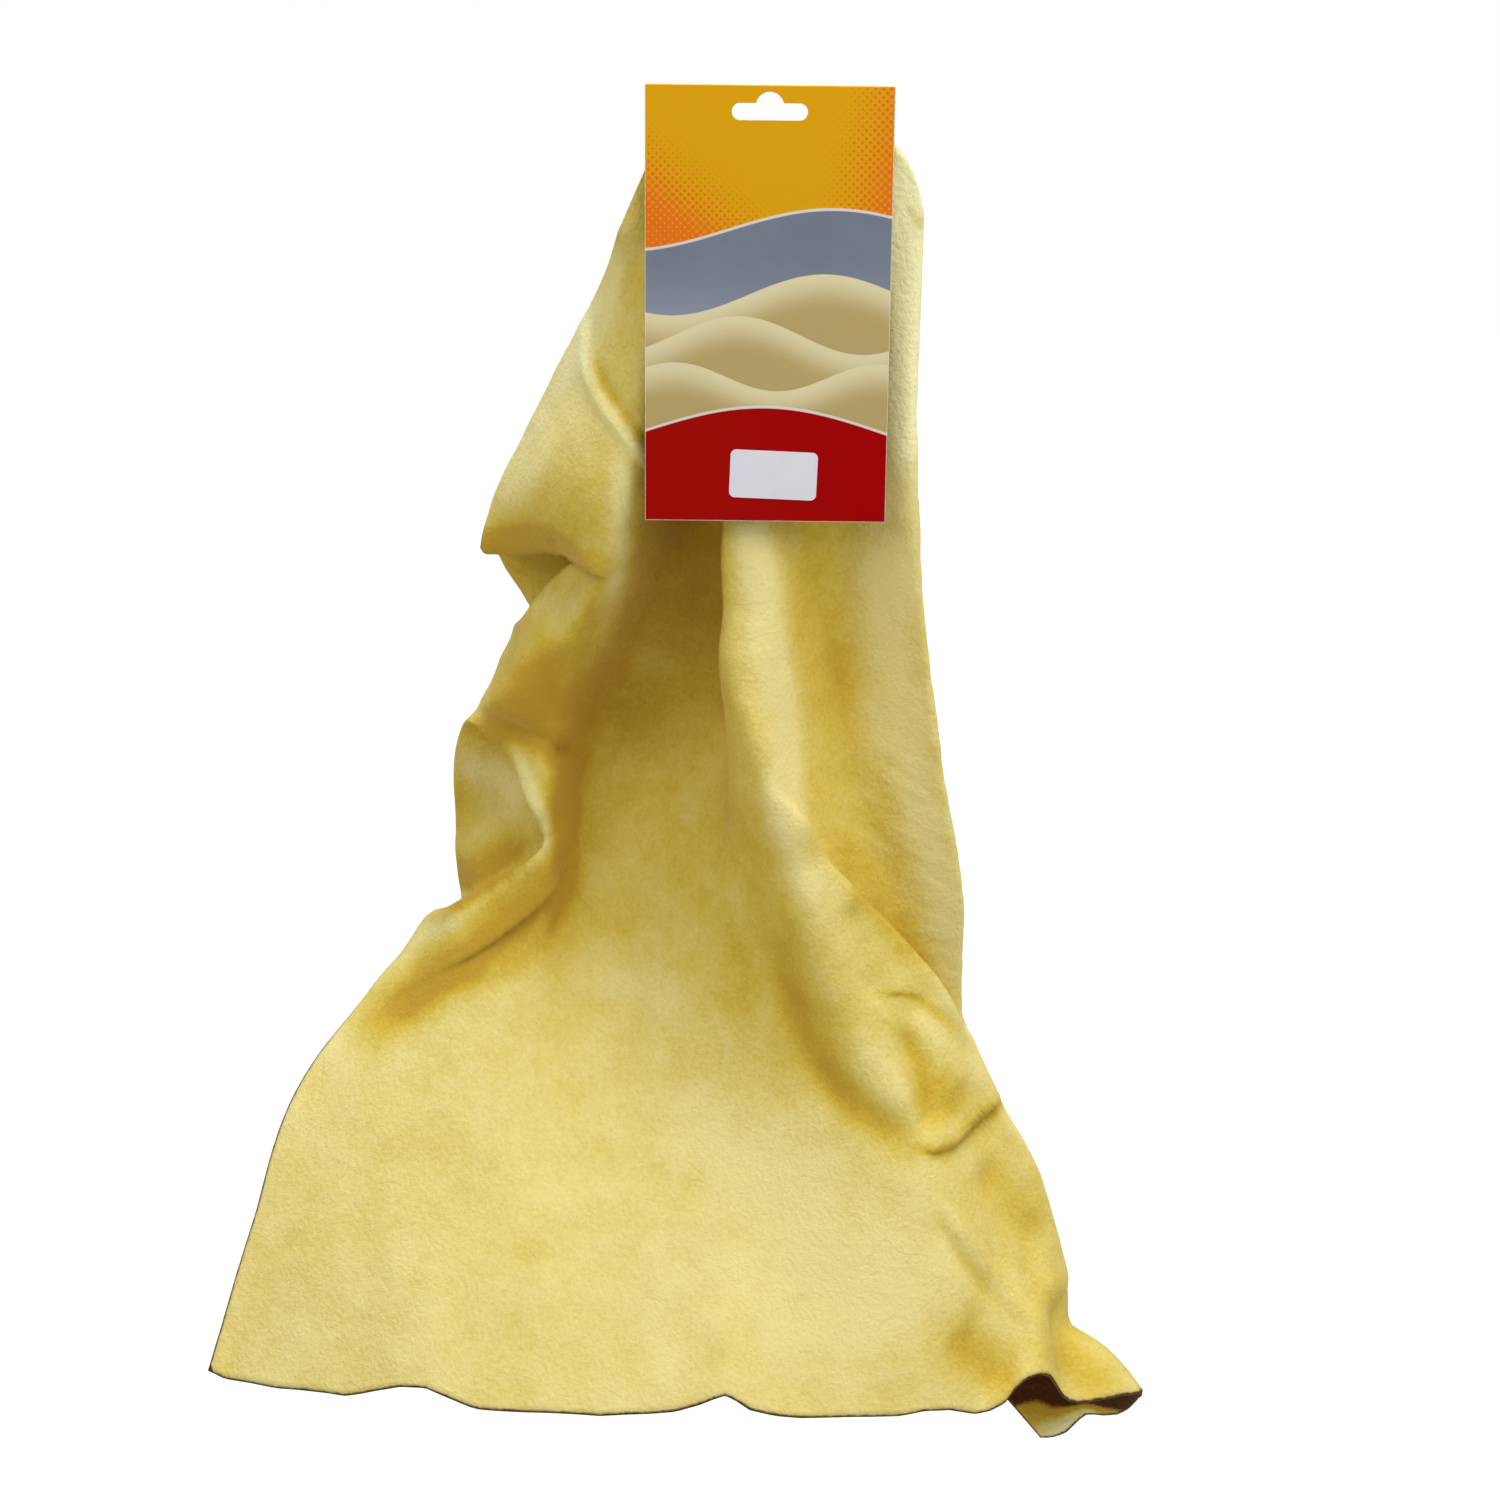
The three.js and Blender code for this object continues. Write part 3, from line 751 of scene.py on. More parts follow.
@dataclass
class Hide:
    """The chamois: one skin lofted through its fold lines, with creases and a cut hem."""

    thickness: float = 1.0
    card_gap: float = 0.4
    card_margin: float = 2.0
    free_below_flap: float = 25.0
    margin_rows: int = 10
    free_rows: int = 252
    crowding: float = 0.3
    columns: tuple[int, ...] = (24, 26, 16, 12, 12, 20, 24, 22, 10, 8)
    flat_size: Point2 = (0.52, 0.66)
    edge_shade_heights: tuple[float, float] = (-380.0, -460.0)
    edge_width: float = 2.5
    hem_reach: float = 0.86
    broad_wrinkle: Point2 = (42.0, 0.8)
    fine_wrinkle: Point2 = (9.0, 0.24)
    sky_rays: int = 56
    sky_start: float = 2.0
    sky_reach: float = 260.0
    sky_best: Point3 = (0.0, -0.6, 0.8)

    TOP = -17.6
    FLAT_MAP = "flat"
    EDGE_SHADE_MARK = "painted_edge_shade"
    PAINTED_LIGHT_MARK = "painted_light_share"

    @staticmethod
    def fold_lines() -> dict[Fold, list[Point3]]:
        """Ridges and valleys of the hung hide, from its top edge down to the hem."""
        half = CARD_HALF
        return {
            Fold.LEFT_CUT_EDGE: [
                *margin(-46, -64.5), (-70, 21, -76), (-77, 31, -91), (-92, 43, -118),
                (-107, 55, -148), (-126, 67, -190), (-129, 70, -208), (-124, 77, -221),
                (-116, 83, -237), (-113, 84, -249), (-121, 80, -266), (-141, 72, -293), (-149, 78, -359),
                (-151, 72, -386), (-184, 52, -419), (-218, 26, -461), (-236, -10, -516),
                (-252, -46, -573)],
            Fold.LEFT_FLANK: [
                *margin(-40, -54), (-63, 18, -91), (-78, 26, -127), (-97, 34, -190),
                (-90, 54, -217), (-97, 43, -240), (-111, 44, -262), (-125, 50, -283),
                (-122, 66, -305), (-121, 68, -335), (-132, 50, -369), (-148, 28, -410),
                (-167, 2, -455), (-182, -30, -506), (-193, -68, -571)],
            Fold.LEFT_RIDGE: [
                *margin(-30, -46), (-53, 9, -131), (-64, 9, -183), (-72, 17, -208),
                (-82, 33, -235), (-90, 45, -262), (-98, 50, -287), (-101, 44, -317),
                (-102, 42, -353), (-106, 37, -388), (-113, 14, -425), (-118, -12, -462),
                (-122, -44, -508), (-127, -84, -567)],
            Fold.VALLEY: [
                *margin(-16, -24), (-27, 34, -112), (-29, 60, -168), (-31, 67, -199),
                (-49, 76, -244), (-68, 78, -284), (-82, 70, -322), (-86, 60, -360),
                (-83, 48, -392), (-79, 32, -418), (-76, 6, -452), (-76, -36, -506),
                (-73, -84, -570)],
            Fold.PLEAT_INNER: [
                *margin(-6, -11.5), (-12, 15, -96), (-6, 40, -132), (-2, 54, -191),
                (-2, 54, -239), (-13, 46, -292), (-27, 30, -345), (-34, 24, -392),
                (-36, 14, -420), (-36, -9, -464), (-33, -47, -516), (-30, -86, -566)],
            Fold.PLEAT_EDGE: [
                *margin(4, -5), (-6, 8.3, -96), (-16, 10, -132), (-18, 12, -184),
                (-17, 8, -240), (-15, 6, -290), (-9, 8, -335), (-3, 6, -380),
                (3, -2, -416), (6, -17, -455), (5, -46, -510), (4, -87, -566)],
            Fold.COLUMN_CREST: [
                *margin(20, 12), (-1, 5, -108), (-4, 8, -183), (-2, 1, -220), (-3, -7, -262),
                (1, -11, -300), (16, -13, -338), (33, -16, -381), (51, -22, -421),
                (73, -32, -457), (82, -50, -501), (78, -82, -566)],
            Fold.COLUMN_TROUGH: [
                (half + 0.5, 3.2, -21), (half + 0.5, 5, -40), (half + 0.5, 7, -59), (38, 14, -108),
                (34, 25, -189), (37, 28, -250), (42, 21, -305), (58, 15, -352), (75, 8, -392),
                (90, -2, -430), (107, -9, -475), (119, -34, -521), (127, -62, -562)],
            Fold.RIGHT_ROLL: [
                (half + 11.5, 8, -42), (half + 13.5, 9.5, -50), (half + 13.5, 11, -59),
                (65.5, 11, -80), (64, 9, -130), (68.5, 8, -205), (80, 7, -289), (92, 7, -351),
                (99, 14, -426), (115.5, 9, -462), (131, 2, -490), (141.5, -3, -519), (148, -9, -547),
                (150, -15, -561), (165, -21, -572), (181, -30, -589)],
            Fold.REAR_LAYER: [
                (half + 10.5, 11, -43.5), (half + 11.5, 15, -51), (half + 9, 19, -59),
                (half + 7, 33, -90), (55, 46, -140), (44, 66, -279), (56, 60, -407), (76, 42, -488),
                (111, 18, -550), (162, -8, -614)],
            Fold.RIGHT_CUT_EDGE: [
                (half + 8, 14, -43), (half + 6.5, 20, -51), (half + 1, 26, -59), (27, 44, -90),
                (-21, 76, -186), (-30, 90, -336), (-17, 78, -415), (24, 44, -500), (84, 4, -565),
                (138, -4, -627)],
        }

    @staticmethod
    def fold_hollows() -> list[Hollow]:
        """Pockets where the left side has buckled under its own weight."""
        bite = ((-150, -203), (-118, -209), (-104, -204), (-91, -200), (-83, -201), (-73, -206),
                (-83, -208), (-95, -224), (-110, -241), (-150, -262))
        pocket = ((-165, -288), (-138, -293), (-128, -296), (-119, -299), (-112, -307),
                  (-106, -319), (-101, -332), (-100, -343), (-105, -351), (-123, -363), (-150, -387),
                  (-170, -396))
        return [Hollow(bite, 9.0, 4.0, Fold.LEFT_RIDGE), Hollow(pocket, 11.0, 4.0, Fold.LEFT_RIDGE)]

    @staticmethod
    def fold_strokes() -> list[Stroke]:
        """Ridges, creases and laps that the fold lines alone leave out."""
        left = (Fold.LEFT_CUT_EDGE, Fold.VALLEY)
        column = (Fold.PLEAT_EDGE, Fold.RIGHT_ROLL)
        ridge, crease, lap = Relief.RIDGE, Relief.CREASE, Relief.LAP
        return [
            # left side: tuck by the card, rim of the upper lobe, lower lobe and pocket
            Stroke(ridge, ((-47, -166), (-55, -155), (-61, -147), (-67, -140), (-72, -134), (-77, -127),
                           (-80, -118), (-80, -106), (-79, -92)), 2.4, 2.2, left),
            Stroke(crease, ((-44, -161), (-51, -151), (-57, -143), (-63, -136), (-68, -130), (-72, -123),
                            (-75, -115), (-75, -104), (-74, -92)), 3.4, 1.8, left),
            Stroke(lap, ((-64, -216), (-73, -209), (-78, -206), (-85, -203), (-92, -203), (-105, -206),
                         (-112, -208), (-120, -209), (-130, -207), (-152, -203)),
                   2.6, 9.0, left, overlap=4.0, reach=13.0),
            Stroke(crease, ((-130, -206), (-114, -206), (-98, -203), (-84, -203)), 2.2, 1.4, left),
            Stroke(lap, ((-136, -278), (-122, -259), (-109, -241), (-102, -230), (-94, -220),
                         (-85, -209), (-76, -201)), 2.6, 8.0, left, overlap=3.0, reach=13.0),
            Stroke(lap, ((-182, -410), (-165, -398), (-149, -386), (-138, -376), (-123, -364),
                         (-105, -351), (-101, -344), (-102, -333), (-107, -321), (-113, -309),
                         (-119, -301), (-128, -297), (-133, -295), (-150, -292)),
                   2.6, 8.0, left, overlap=3.6, reach=12.0),
            Stroke(crease, ((-146, -290), (-128, -288), (-113, -292), (-101, -297), (-80, -309)),
                   5.0, 3.6, left),
            Stroke(lap, ((-86, -356), (-97, -366), (-108, -377), (-120, -387), (-137, -398), (-157, -410),
                         (-172, -420), (-192, -433)), 2.4, 6.0, left, overlap=2.0, reach=11.0),
            Stroke(crease, ((-98, -346), (-94, -362), (-93, -379), (-100, -393)), 3.5, 2.4,
                   (Fold.LEFT_RIDGE, Fold.VALLEY)),
            # column: crest, tongue, and the pouch below it
            Stroke(ridge, ((-15, -220), (-11, -259), (-3, -278), (4, -297), (13, -315), (26, -339)),
                   7.0, 3.4, column),
            Stroke(lap, ((-4, -288), (8, -306), (22, -322), (35, -344), (48, -360), (69, -384),
                         (85, -405), (104, -436)), 3.0, 3.2, column, overlap=1.2, reach=14.0),
            Stroke(crease, ((10, -358), (11, -378), (14, -398), (21, -413), (26, -431), (42, -445),
                            (62, -457), (82, -466)), 9.0, 2.6, column),
            Stroke(ridge, ((9, -336), (20, -373), (32, -397), (42, -420), (57, -438), (80, -456)),
                   11.0, 2.0, column),
            Stroke(crease, ((38, -354), (45, -372), (48, -388), (60, -403)), 5.0, 2.6, column),
            Stroke(lap, ((28, -333), (48, -360), (69, -384), (85, -405), (100, -430)), 2.0, 3.6, column,
                   overlap=1.7, reach=9.0),
            Stroke(lap, ((92, -420), (85, -414), (71, -402), (63, -399), (52, -398)), 2.2, 3.8, column,
                   overlap=1.6, reach=9.0),
            Stroke(crease, ((64, -410), (74, -437), (80, -460)), 5.0, 3.8, column),
            Stroke(ridge, ((68, -408), (83, -428), (94, -448)), 6.0, 3.0, column),
            Stroke(lap, ((116, -455), (110, -458), (99, -463), (85, -466), (72, -463)), 1.8, 4.4, column,
                   overlap=1.7, reach=9.0),
            # lower right: ridge, trough and the curl at the hem
            Stroke(crease, ((101, -476), (115, -498), (136, -525)), 7.0, 3.2, column),
            Stroke(ridge, ((84, -486), (95, -504), (103, -516), (112, -527), (122, -539), (132, -552)),
                   2.6, 2.2, column),
            Stroke(crease, ((80, -492), (91, -509), (100, -522), (111, -535)), 3.2, 1.6, column),
            Stroke(crease, ((88, -538), (112, -568)), 11.0, 2.2, column),
            Stroke(ridge, ((136, -528), (129, -549), (126, -572)), 8.0, 4.0, column),
            Stroke(crease, ((140, -540), (144, -562), (150, -588)), 9.0, 3.4, column),
        ]

    @staticmethod
    def painted_shading_streaks() -> list[PaintedShadingStreak]:
        """Painted highlights and painted shade along the hide's folds, crests and hollows."""
        left = (Fold.LEFT_CUT_EDGE, Fold.PLEAT_INNER)
        column = (Fold.PLEAT_EDGE, Fold.RIGHT_ROLL)
        right = (Fold.COLUMN_CREST, Fold.REAR_LAYER)
        skirt = (Fold.LEFT_CUT_EDGE, Fold.RIGHT_ROLL)
        curl = (Fold.RIGHT_ROLL, Fold.RIGHT_CUT_EDGE)
        return [
            # left side, from the top down
            PaintedShadingStreak(((-66, -50), (-76, -85), (-90, -118), (-106, -151), (-122, -188)), 10.0, 0.8, left),
            PaintedShadingStreak(((-66, -70), (-78, -100), (-84, -128), (-80, -150)), 8.0, 0.3, left),
            PaintedShadingStreak(((-44, -170), (-55, -155), (-67, -140), (-72, -134), (-77, -127), (-80, -118),
                      (-80, -106), (-79, -90)), 2.6, 0.7, left),
            PaintedShadingStreak(((-44, -160), (-57, -143), (-68, -130), (-73, -121), (-75, -104)), 3.0, -0.3, left),
            PaintedShadingStreak(((-131, -204), (-115, -200), (-100, -198), (-88, -200)), 6.0, -0.6, left),
            PaintedShadingStreak(((-93, -241), (-103, -255), (-112, -270)), 9.0, -0.4, left),
            PaintedShadingStreak(((-64, -148), (-63, -178), (-65, -206), (-70, -230)), 5.0, 0.5, left),
            PaintedShadingStreak(((-66, -205), (-71, -231), (-78, -256)), 7.0, 0.35, left),
            PaintedShadingStreak(((-52, -209), (-53, -243), (-58, -274)), 12.0, 0.25, left),
            PaintedShadingStreak(((-122, -262), (-110, -272), (-92, -286)), 12.0, -0.4, left),
            PaintedShadingStreak(((-132, -288), (-113, -293), (-101, -298), (-88, -310)), 6.0, -0.7, left),
            PaintedShadingStreak(((-148, -312), (-128, -322), (-110, -330)), 11.0, 0.6, left),
            PaintedShadingStreak(((-116, -302), (-107, -320), (-102, -333), (-100, -352)), 3.5, 0.55, left),
            PaintedShadingStreak(((-152, -380), (-137, -369), (-124, -360), (-106, -349)), 8.0, -0.7, left),
            PaintedShadingStreak(((-97, -310), (-94, -340), (-92, -365), (-99, -390)), 7.0, -0.35, left),
            PaintedShadingStreak(((-188, -437), (-170, -424), (-156, -412), (-137, -397), (-123, -385), (-98, -362)),
                     9.0, -0.95, left),
            PaintedShadingStreak(((-168, -401), (-147, -385), (-131, -372), (-112, -357), (-98, -343)), 2.4, 0.4, left),
            PaintedShadingStreak(((-146, -412), (-115, -398), (-96, -384)), 8.0, -0.3, left),
            # column, tongue and the strip beside the card
            PaintedShadingStreak(((-9, -160), (-6, -187), (-1, -213), (2, -235), (8, -258), (12, -281), (10, -307),
                      (14, -333), (24, -358)), 8.0, 0.6, column),
            PaintedShadingStreak(((35, -240), (38, -269), (43, -300)), 7.0, -0.15, column),
            PaintedShadingStreak(((44, -180), (47, -220), (50, -262), (58, -305)), 10.0, 0.3, right),
            PaintedShadingStreak(((46, -416), (55, -434), (64, -447)), 10.0, 0.12, column),
            PaintedShadingStreak(((84, -486), (95, -504), (103, -516), (112, -527), (122, -539)), 1.6, 0.15, column),
            PaintedShadingStreak(((81, -491), (92, -509), (100, -521), (111, -534)), 2.6, -0.15, column),
            PaintedShadingStreak(((116, -455), (110, -458), (99, -463), (85, -466), (72, -464)), 2.2, -0.6, column),
            PaintedShadingStreak(((92, -420), (85, -414), (71, -402), (63, -399), (52, -398)), 2.0, -0.4, column),
            PaintedShadingStreak(((66, -412), (74, -437), (80, -460)), 5.0, -0.35, column),
            # painted highlight down the strip beside the card
            PaintedShadingStreak(((57, 10), (59, -40), (61, -86), (61, -138), (60, -170)), 9.0, 1.8, right),
            PaintedShadingStreak(((54, -29), (58, -34), (62, -39)), 2.2, -0.6, right),
            PaintedShadingStreak(((59, -45), (62, -52), (66, -55)), 2.4, -1.1, right),
            PaintedShadingStreak(((58, -150), (59, -220), (62, -247), (66, -275), (71, -302), (79, -335), (90, -385),
                      (98, -420)), 12.0, 0.6, right),
            PaintedShadingStreak(((34, -328), (50, -352), (62, -371), (76, -391)), 7.0, -0.25, column),
            PaintedShadingStreak(((10, -380), (14, -398), (19, -410), (27, -428), (35, -440), (46, -450), (60, -459),
                      (74, -468)), 8.0, -0.45, column),
            PaintedShadingStreak(((79, -434), (87, -447), (92, -456)), 8.0, -0.4, column),
            # open skirt
            PaintedShadingStreak(((-12, -376), (-9, -399), (-4, -416)), 12.0, -0.3, skirt),
            PaintedShadingStreak(((-80, -405), (-60, -408), (-38, -422)), 14.0, 0.2, skirt),
            PaintedShadingStreak(((-46, -459), (-17, -468), (10, -477), (42, -480)), 18.0, 0.3, skirt),
            PaintedShadingStreak(((5, -515), (40, -523), (72, -512)), 24.0, 0.5, skirt),
            PaintedShadingStreak(((86, -540), (102, -555), (118, -570)), 9.0, -0.35, skirt),
            PaintedShadingStreak(((98, -476), (114, -498), (127, -522), (132, -552)), 11.0, -0.25, skirt),
            PaintedShadingStreak(((136, -556), (152, -572), (172, -582)), 9.0, -0.4, skirt),
            # mouth of the curl: painted shade under its arch, painted highlight at its lip
            PaintedShadingStreak(((100, -608), (120, -604), (135, -600), (147, -603), (161, -600), (195, -586)), 8.0,
                     -2.8, curl, Side.BACK),
            PaintedShadingStreak(((136, -625), (147, -623), (158, -613), (168, -609)), 5.0, 1.6, curl, Side.BACK),
        ]

    def drops(self) -> np.ndarray:
        """Rows from the top edge, -1, past the flap's foot, 0, to the hem, 1."""
        held = np.linspace(-1.0, 0.0, self.margin_rows, endpoint=False)
        even = np.linspace(0.0, 1.0, self.free_rows + 1)
        free = even + self.crowding * np.sin(2.0 * np.pi * even) / (2.0 * np.pi)
        return np.concatenate([held, free])

    def loft(self) -> tuple[np.ndarray, np.ndarray]:
        """Run smooth rows through every fold line.

        Returns:
            The grid of points in millimetres, row by row, and each column's fold line number.
        """
        drops = self.drops()
        lines = []
        for points in self.fold_lines().values():
            line = np.array(points, float)
            z = line[:, 2]
            length = np.where(z > FLAP_FOOT, z[0] - FLAP_FOOT, FLAP_FOOT - z[-1])
            knots = (FLAP_FOOT - z) / length
            held = np.stack([np.interp(drops, knots, line[:, axis]) for axis in range(3)], axis=1)
            hung = curve_through(knots, line, drops)
            lines.append(np.where(drops[:, None] < 0.0, held, hung))
        stations = np.stack(lines, axis=1)
        fold = np.concatenate([i + np.arange(count) / count for i, count in enumerate(self.columns)]
                              + [[len(self.columns)]])
        whole = np.minimum(fold.astype(int), len(self.columns) - 1)
        rows = []
        for row in stations:
            steps = np.sqrt(np.linalg.norm(np.diff(row, axis=0), axis=1))
            knots = np.concatenate([[0.0], np.cumsum(steps)])
            rows.append(curve_through(knots, row, knots[whole] + steps[whole] * (fold - whole)))
        return np.array(rows), fold

    @staticmethod
    def normals(grid: np.ndarray) -> np.ndarray:
        """Unit normals of a grid, towards the viewer on its front."""
        down, across = np.gradient(grid, axis=0), np.gradient(grid, axis=1)
        normal = np.cross(down, across)
        return normal / np.maximum(np.linalg.norm(normal, axis=2, keepdims=True), 1e-9)

    def trim_hem(self, grid: np.ndarray, fold: np.ndarray) -> None:
        """Cut the hem to its uneven line.

        Args:
            grid: the points, which are changed.
            fold: each column's fold line number.
        """
        hem = grid[-1]
        front, rear = np.array(HEM_LINE, float), np.array(REAR_HEM_LINE, float)
        front_cut = np.interp(hem[:, 0], front[:, 0], front[:, 1]) - hem[:, 2]
        rear_cut = np.interp(hem[:, 0], rear[:, 0], rear[:, 1]) - hem[:, 2]
        cut = np.where(fold <= Fold.RIGHT_ROLL.value, front_cut, rear_cut)
        weight = smoothstep(self.hem_reach, 1.0, self.drops())
        grid[:, :, 2] += weight[:, None] * cut[None, :]

    def wrinkle(self, grid: np.ndarray, fold: np.ndarray) -> np.ndarray:
        """Small unevenness of the skin, with fine cross wrinkles down its right side.

        Args:
            grid: the points in millimetres.
            fold: fold line numbers, with shares between them.

        Returns:
            The rise along the normal in millimetres.
        """
        z = grid[:, :, 2]
        strip = smoothstep(6.3, 6.9, fold) * smoothstep(8.4, 8.0, fold)
        strip = strip * smoothstep(-262.0, -300.0, z) * smoothstep(-452.0, -420.0, z)
        rise = np.zeros(grid.shape[:2])
        (broad_size, broad_rise), (fine_size, fine_rise) = self.broad_wrinkle, self.fine_wrinkle
        for index in np.ndindex(rise.shape):
            point = Vector(grid[index])
            broad = noise.fractal(point / broad_size, 1.0, 2.0, 2)
            fine = noise.fractal(point / fine_size, 0.8, 2.0, 2)
            rise[index] = broad_rise * broad + fine_rise * fine
            if strip[index] > 0.0:
                crossing = Vector((point.x / 14.0, point.y / 14.0, (point.z + 0.35 * point.x) / 4.2))
                rise[index] += 0.38 * strip[index] * noise.noise(crossing)
        return rise

    def shape(self) -> tuple[np.ndarray, np.ndarray]:
        """Loft the hide, then add its hollows, strokes and wrinkles.

        Returns:
            The grid of points in millimetres and each column's fold line number.
        """
        grid, fold = self.loft()
        self.trim_hem(grid, fold)
        spots = Spots.of(grid, fold)
        free = smoothstep(FLAP_FOOT, FLAP_FOOT - self.free_below_flap, spots.z)
        for hollow in self.fold_hollows():
            grid[:, :, 1] += hollow.push(spots) * free
        normals = self.normals(grid)
        rise = self.wrinkle(grid, spots.fold)
        for stroke in self.fold_strokes():
            lift, slide = stroke.move(spots)
            rise += lift
            grid[:, :, [0, 2]] += slide * free[:, :, None]
        grid += normals * (rise * free)[:, :, None]
        behind_card = ((np.abs(grid[:, :, 0]) < CARD_HALF + self.card_margin)
                       & (spots.z > CARD_FOOT - self.card_margin))
        clear = BOARD_THICKNESS + 0.5 * self.thickness + self.card_gap
        grid[:, :, 1] = np.where(behind_card, np.maximum(grid[:, :, 1], clear), grid[:, :, 1])
        return grid, fold

    @staticmethod
    def lengths(grid: np.ndarray, axis: int) -> np.ndarray:
        """Running length along the rows or columns of a grid."""
        steps = np.linalg.norm(np.diff(grid, axis=axis), axis=2)
        return np.pad(np.cumsum(steps, axis=axis), [(1, 0), (0, 0)] if axis == 0 else [(0, 0), (1, 0)])

    def build(self) -> bpy.types.Object:
        """Make the hide's mesh, with its flat map, its mark of painted edge shade and its painted light
        share, and give it thickness.

        Returns:
            The hide.
        """
        grid, fold = self.shape()
        faces = grid_faces(*grid.shape[:2])
        mesh = bpy.data.meshes.new("chamois_leather")
        mesh.from_pydata((grid.reshape(-1, 3) * MM).tolist(), [], faces.tolist())
        hide = bpy.data.objects.new("chamois_leather", mesh)
        bpy.context.scene.collection.objects.link(hide)

        across, down = self.lengths(grid, 1), self.lengths(grid, 0)
        middle = across[:, sum(self.columns[:Fold.PLEAT_EDGE.value])][:, None]
        flat = np.stack([across - middle, down], axis=-1).reshape(-1, 2) * MM
        layer = mesh.uv_layers.new(name=self.FLAT_MAP)
        layer.data.foreach_set("uv", flat[faces.reshape(-1)].astype(np.float32).reshape(-1))
        # painted shade along the hem, and along the side edges only low down
        to_sides = np.minimum(across, across[:, -1:] - across)
        to_hem = down[-1:] - down
        sides, hem = (1.0 - np.clip(gap / self.edge_width, 0.0, 1.0) for gap in (to_sides, to_hem))
        sides = sides * smoothstep(*self.edge_shade_heights, grid[:, :, 2])
        self.mark(mesh, self.EDGE_SHADE_MARK, np.maximum(sides, hem))
        area = np.linalg.norm(np.cross(np.diff(grid[:, :-1], axis=0), np.diff(grid[:-1], axis=1)),
                              axis=2).sum()
        LOG.info("hide: skin area %.3f square metres", area * MM * MM)
        apply_modifier(hide, "SOLIDIFY", thickness=self.thickness * MM, offset=0.0)
        # painted light and shade: share of light from above reaching each point, with the painted streaks
        # added
        self.mark(mesh, self.PAINTED_LIGHT_MARK, self.painted_light_share(mesh, grid, fold))
        make_active(hide)
        bpy.ops.object.shade_smooth()
        return hide

    def painted_light_share(self, mesh: bpy.types.Mesh, grid: np.ndarray, fold: np.ndarray) -> np.ndarray:
        """Reckon how open each point lies to soft light from above, and add the painted streaks of light
        and shade.

        Args:
            mesh: the hide with its thickness, whose points run over one side, then the other.
            grid: the points of its middle layer in millimetres.
            fold: each column's fold line number.

        Returns:
            A value for each point, near 0 deep in a fold and near 1 on the open skirt, which the leather's
            colour uses as painted shade and painted light.
        """
        rows = np.unique(np.append(np.arange(0, len(grid), 3), len(grid) - 1))
        columns = np.unique(np.append(np.arange(0, grid.shape[1], 2), grid.shape[1] - 1))
        coarse = grid[np.ix_(rows, columns)]
        faces = grid_faces(*coarse.shape[:2])
        tree = BVHTree.FromPolygons(coarse.reshape(-1, 3).tolist(), faces.tolist())
        places = np.empty(len(mesh.vertices) * 3, np.float32)
        mesh.vertices.foreach_get("co", places)
        first = places.reshape(2, *grid.shape)[0] / MM - grid
        normals = self.normals(coarse)
        sense = np.sign((first[np.ix_(rows, columns)] * normals).sum(axis=2).mean())
        sides = []
        for way in (sense, -sense):
            lit = self.lit_share(tree, coarse, way * normals)
            painted_light_and_shade = self.painted_light_and_shade(grid, fold, Side(int(way)))
            sides.append(self.spread(lit, rows, columns, grid.shape) + painted_light_and_shade)
        return np.array(sides)

    def painted_light_and_shade(self, grid: np.ndarray, fold: np.ndarray, side: Side) -> np.ndarray:
        """Sum of the painted light and shade streaks over one side of the hide."""
        spots = Spots.of(grid, fold)
        streaks = [streak for streak in self.painted_shading_streaks() if streak.side is side]
        return sum((streak.tint(spots) for streak in streaks), np.zeros(spots.x.shape))

    def lit_share(self, tree: BVHTree, points: np.ndarray, normals: np.ndarray) -> np.ndarray:
        """Share of the light from a bright ceiling that reaches points on one side.

        Args:
            tree: the hide, for casting rays.
            points: the points in millimetres.
            normals: the side's normals.

        Returns:
            The share at each point.
        """
        steps = np.arange(self.sky_rays) + 0.5
        height = 1.0 - 1.3 * steps / self.sky_rays
        turn = steps * math.pi * (3.0 - math.sqrt(5.0))
        reach = np.sqrt(1.0 - height ** 2)
        rays = np.stack([reach * np.cos(turn), reach * np.sin(turn), height], axis=1)
        strength = (0.45 + 0.55 * np.clip(height, 0.0, 1.0)) * np.where(rays[:, 1] > 0.2, 0.5, 1.0)
        lit = np.zeros(points.shape[:2])
        for index in np.ndindex(lit.shape):
            start = Vector(points[index] + self.sky_start * normals[index])
            facing = np.maximum(rays @ normals[index], 0.0) * strength
            for ray in np.nonzero(facing)[0]:
                if tree.ray_cast(start, Vector(rays[ray]), self.sky_reach)[0] is None:
                    lit[index] += facing[ray]
        return lit / (np.maximum(rays @ np.array(self.sky_best), 0.0) * strength).sum()

    @staticmethod
    def spread(values: np.ndarray, rows: np.ndarray, columns: np.ndarray,
               shape: tuple[int, ...]) -> np.ndarray:
        """Spread values at some rows and columns over the whole grid."""
        across = np.array([np.interp(np.arange(shape[1]), columns, row) for row in values])
        return np.array([np.interp(np.arange(shape[0]), rows, column) for column in across.T]).T

    @staticmethod
    def mark(mesh: bpy.types.Mesh, name: str, values: np.ndarray) -> None:
        """Store one value for each point of a mesh."""
        attribute = mesh.attributes.new(name, "FLOAT", "POINT")
        attribute.data.foreach_set("value", values.astype(np.float32).reshape(-1))

    def dress(self, hide: bpy.types.Object) -> None:
        """Finish the hide and put it in the frame."""
        hide.data.materials.append(LEATHER.material())
        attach(hide, Body.HIDE.value)
        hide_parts("chamois_hide")


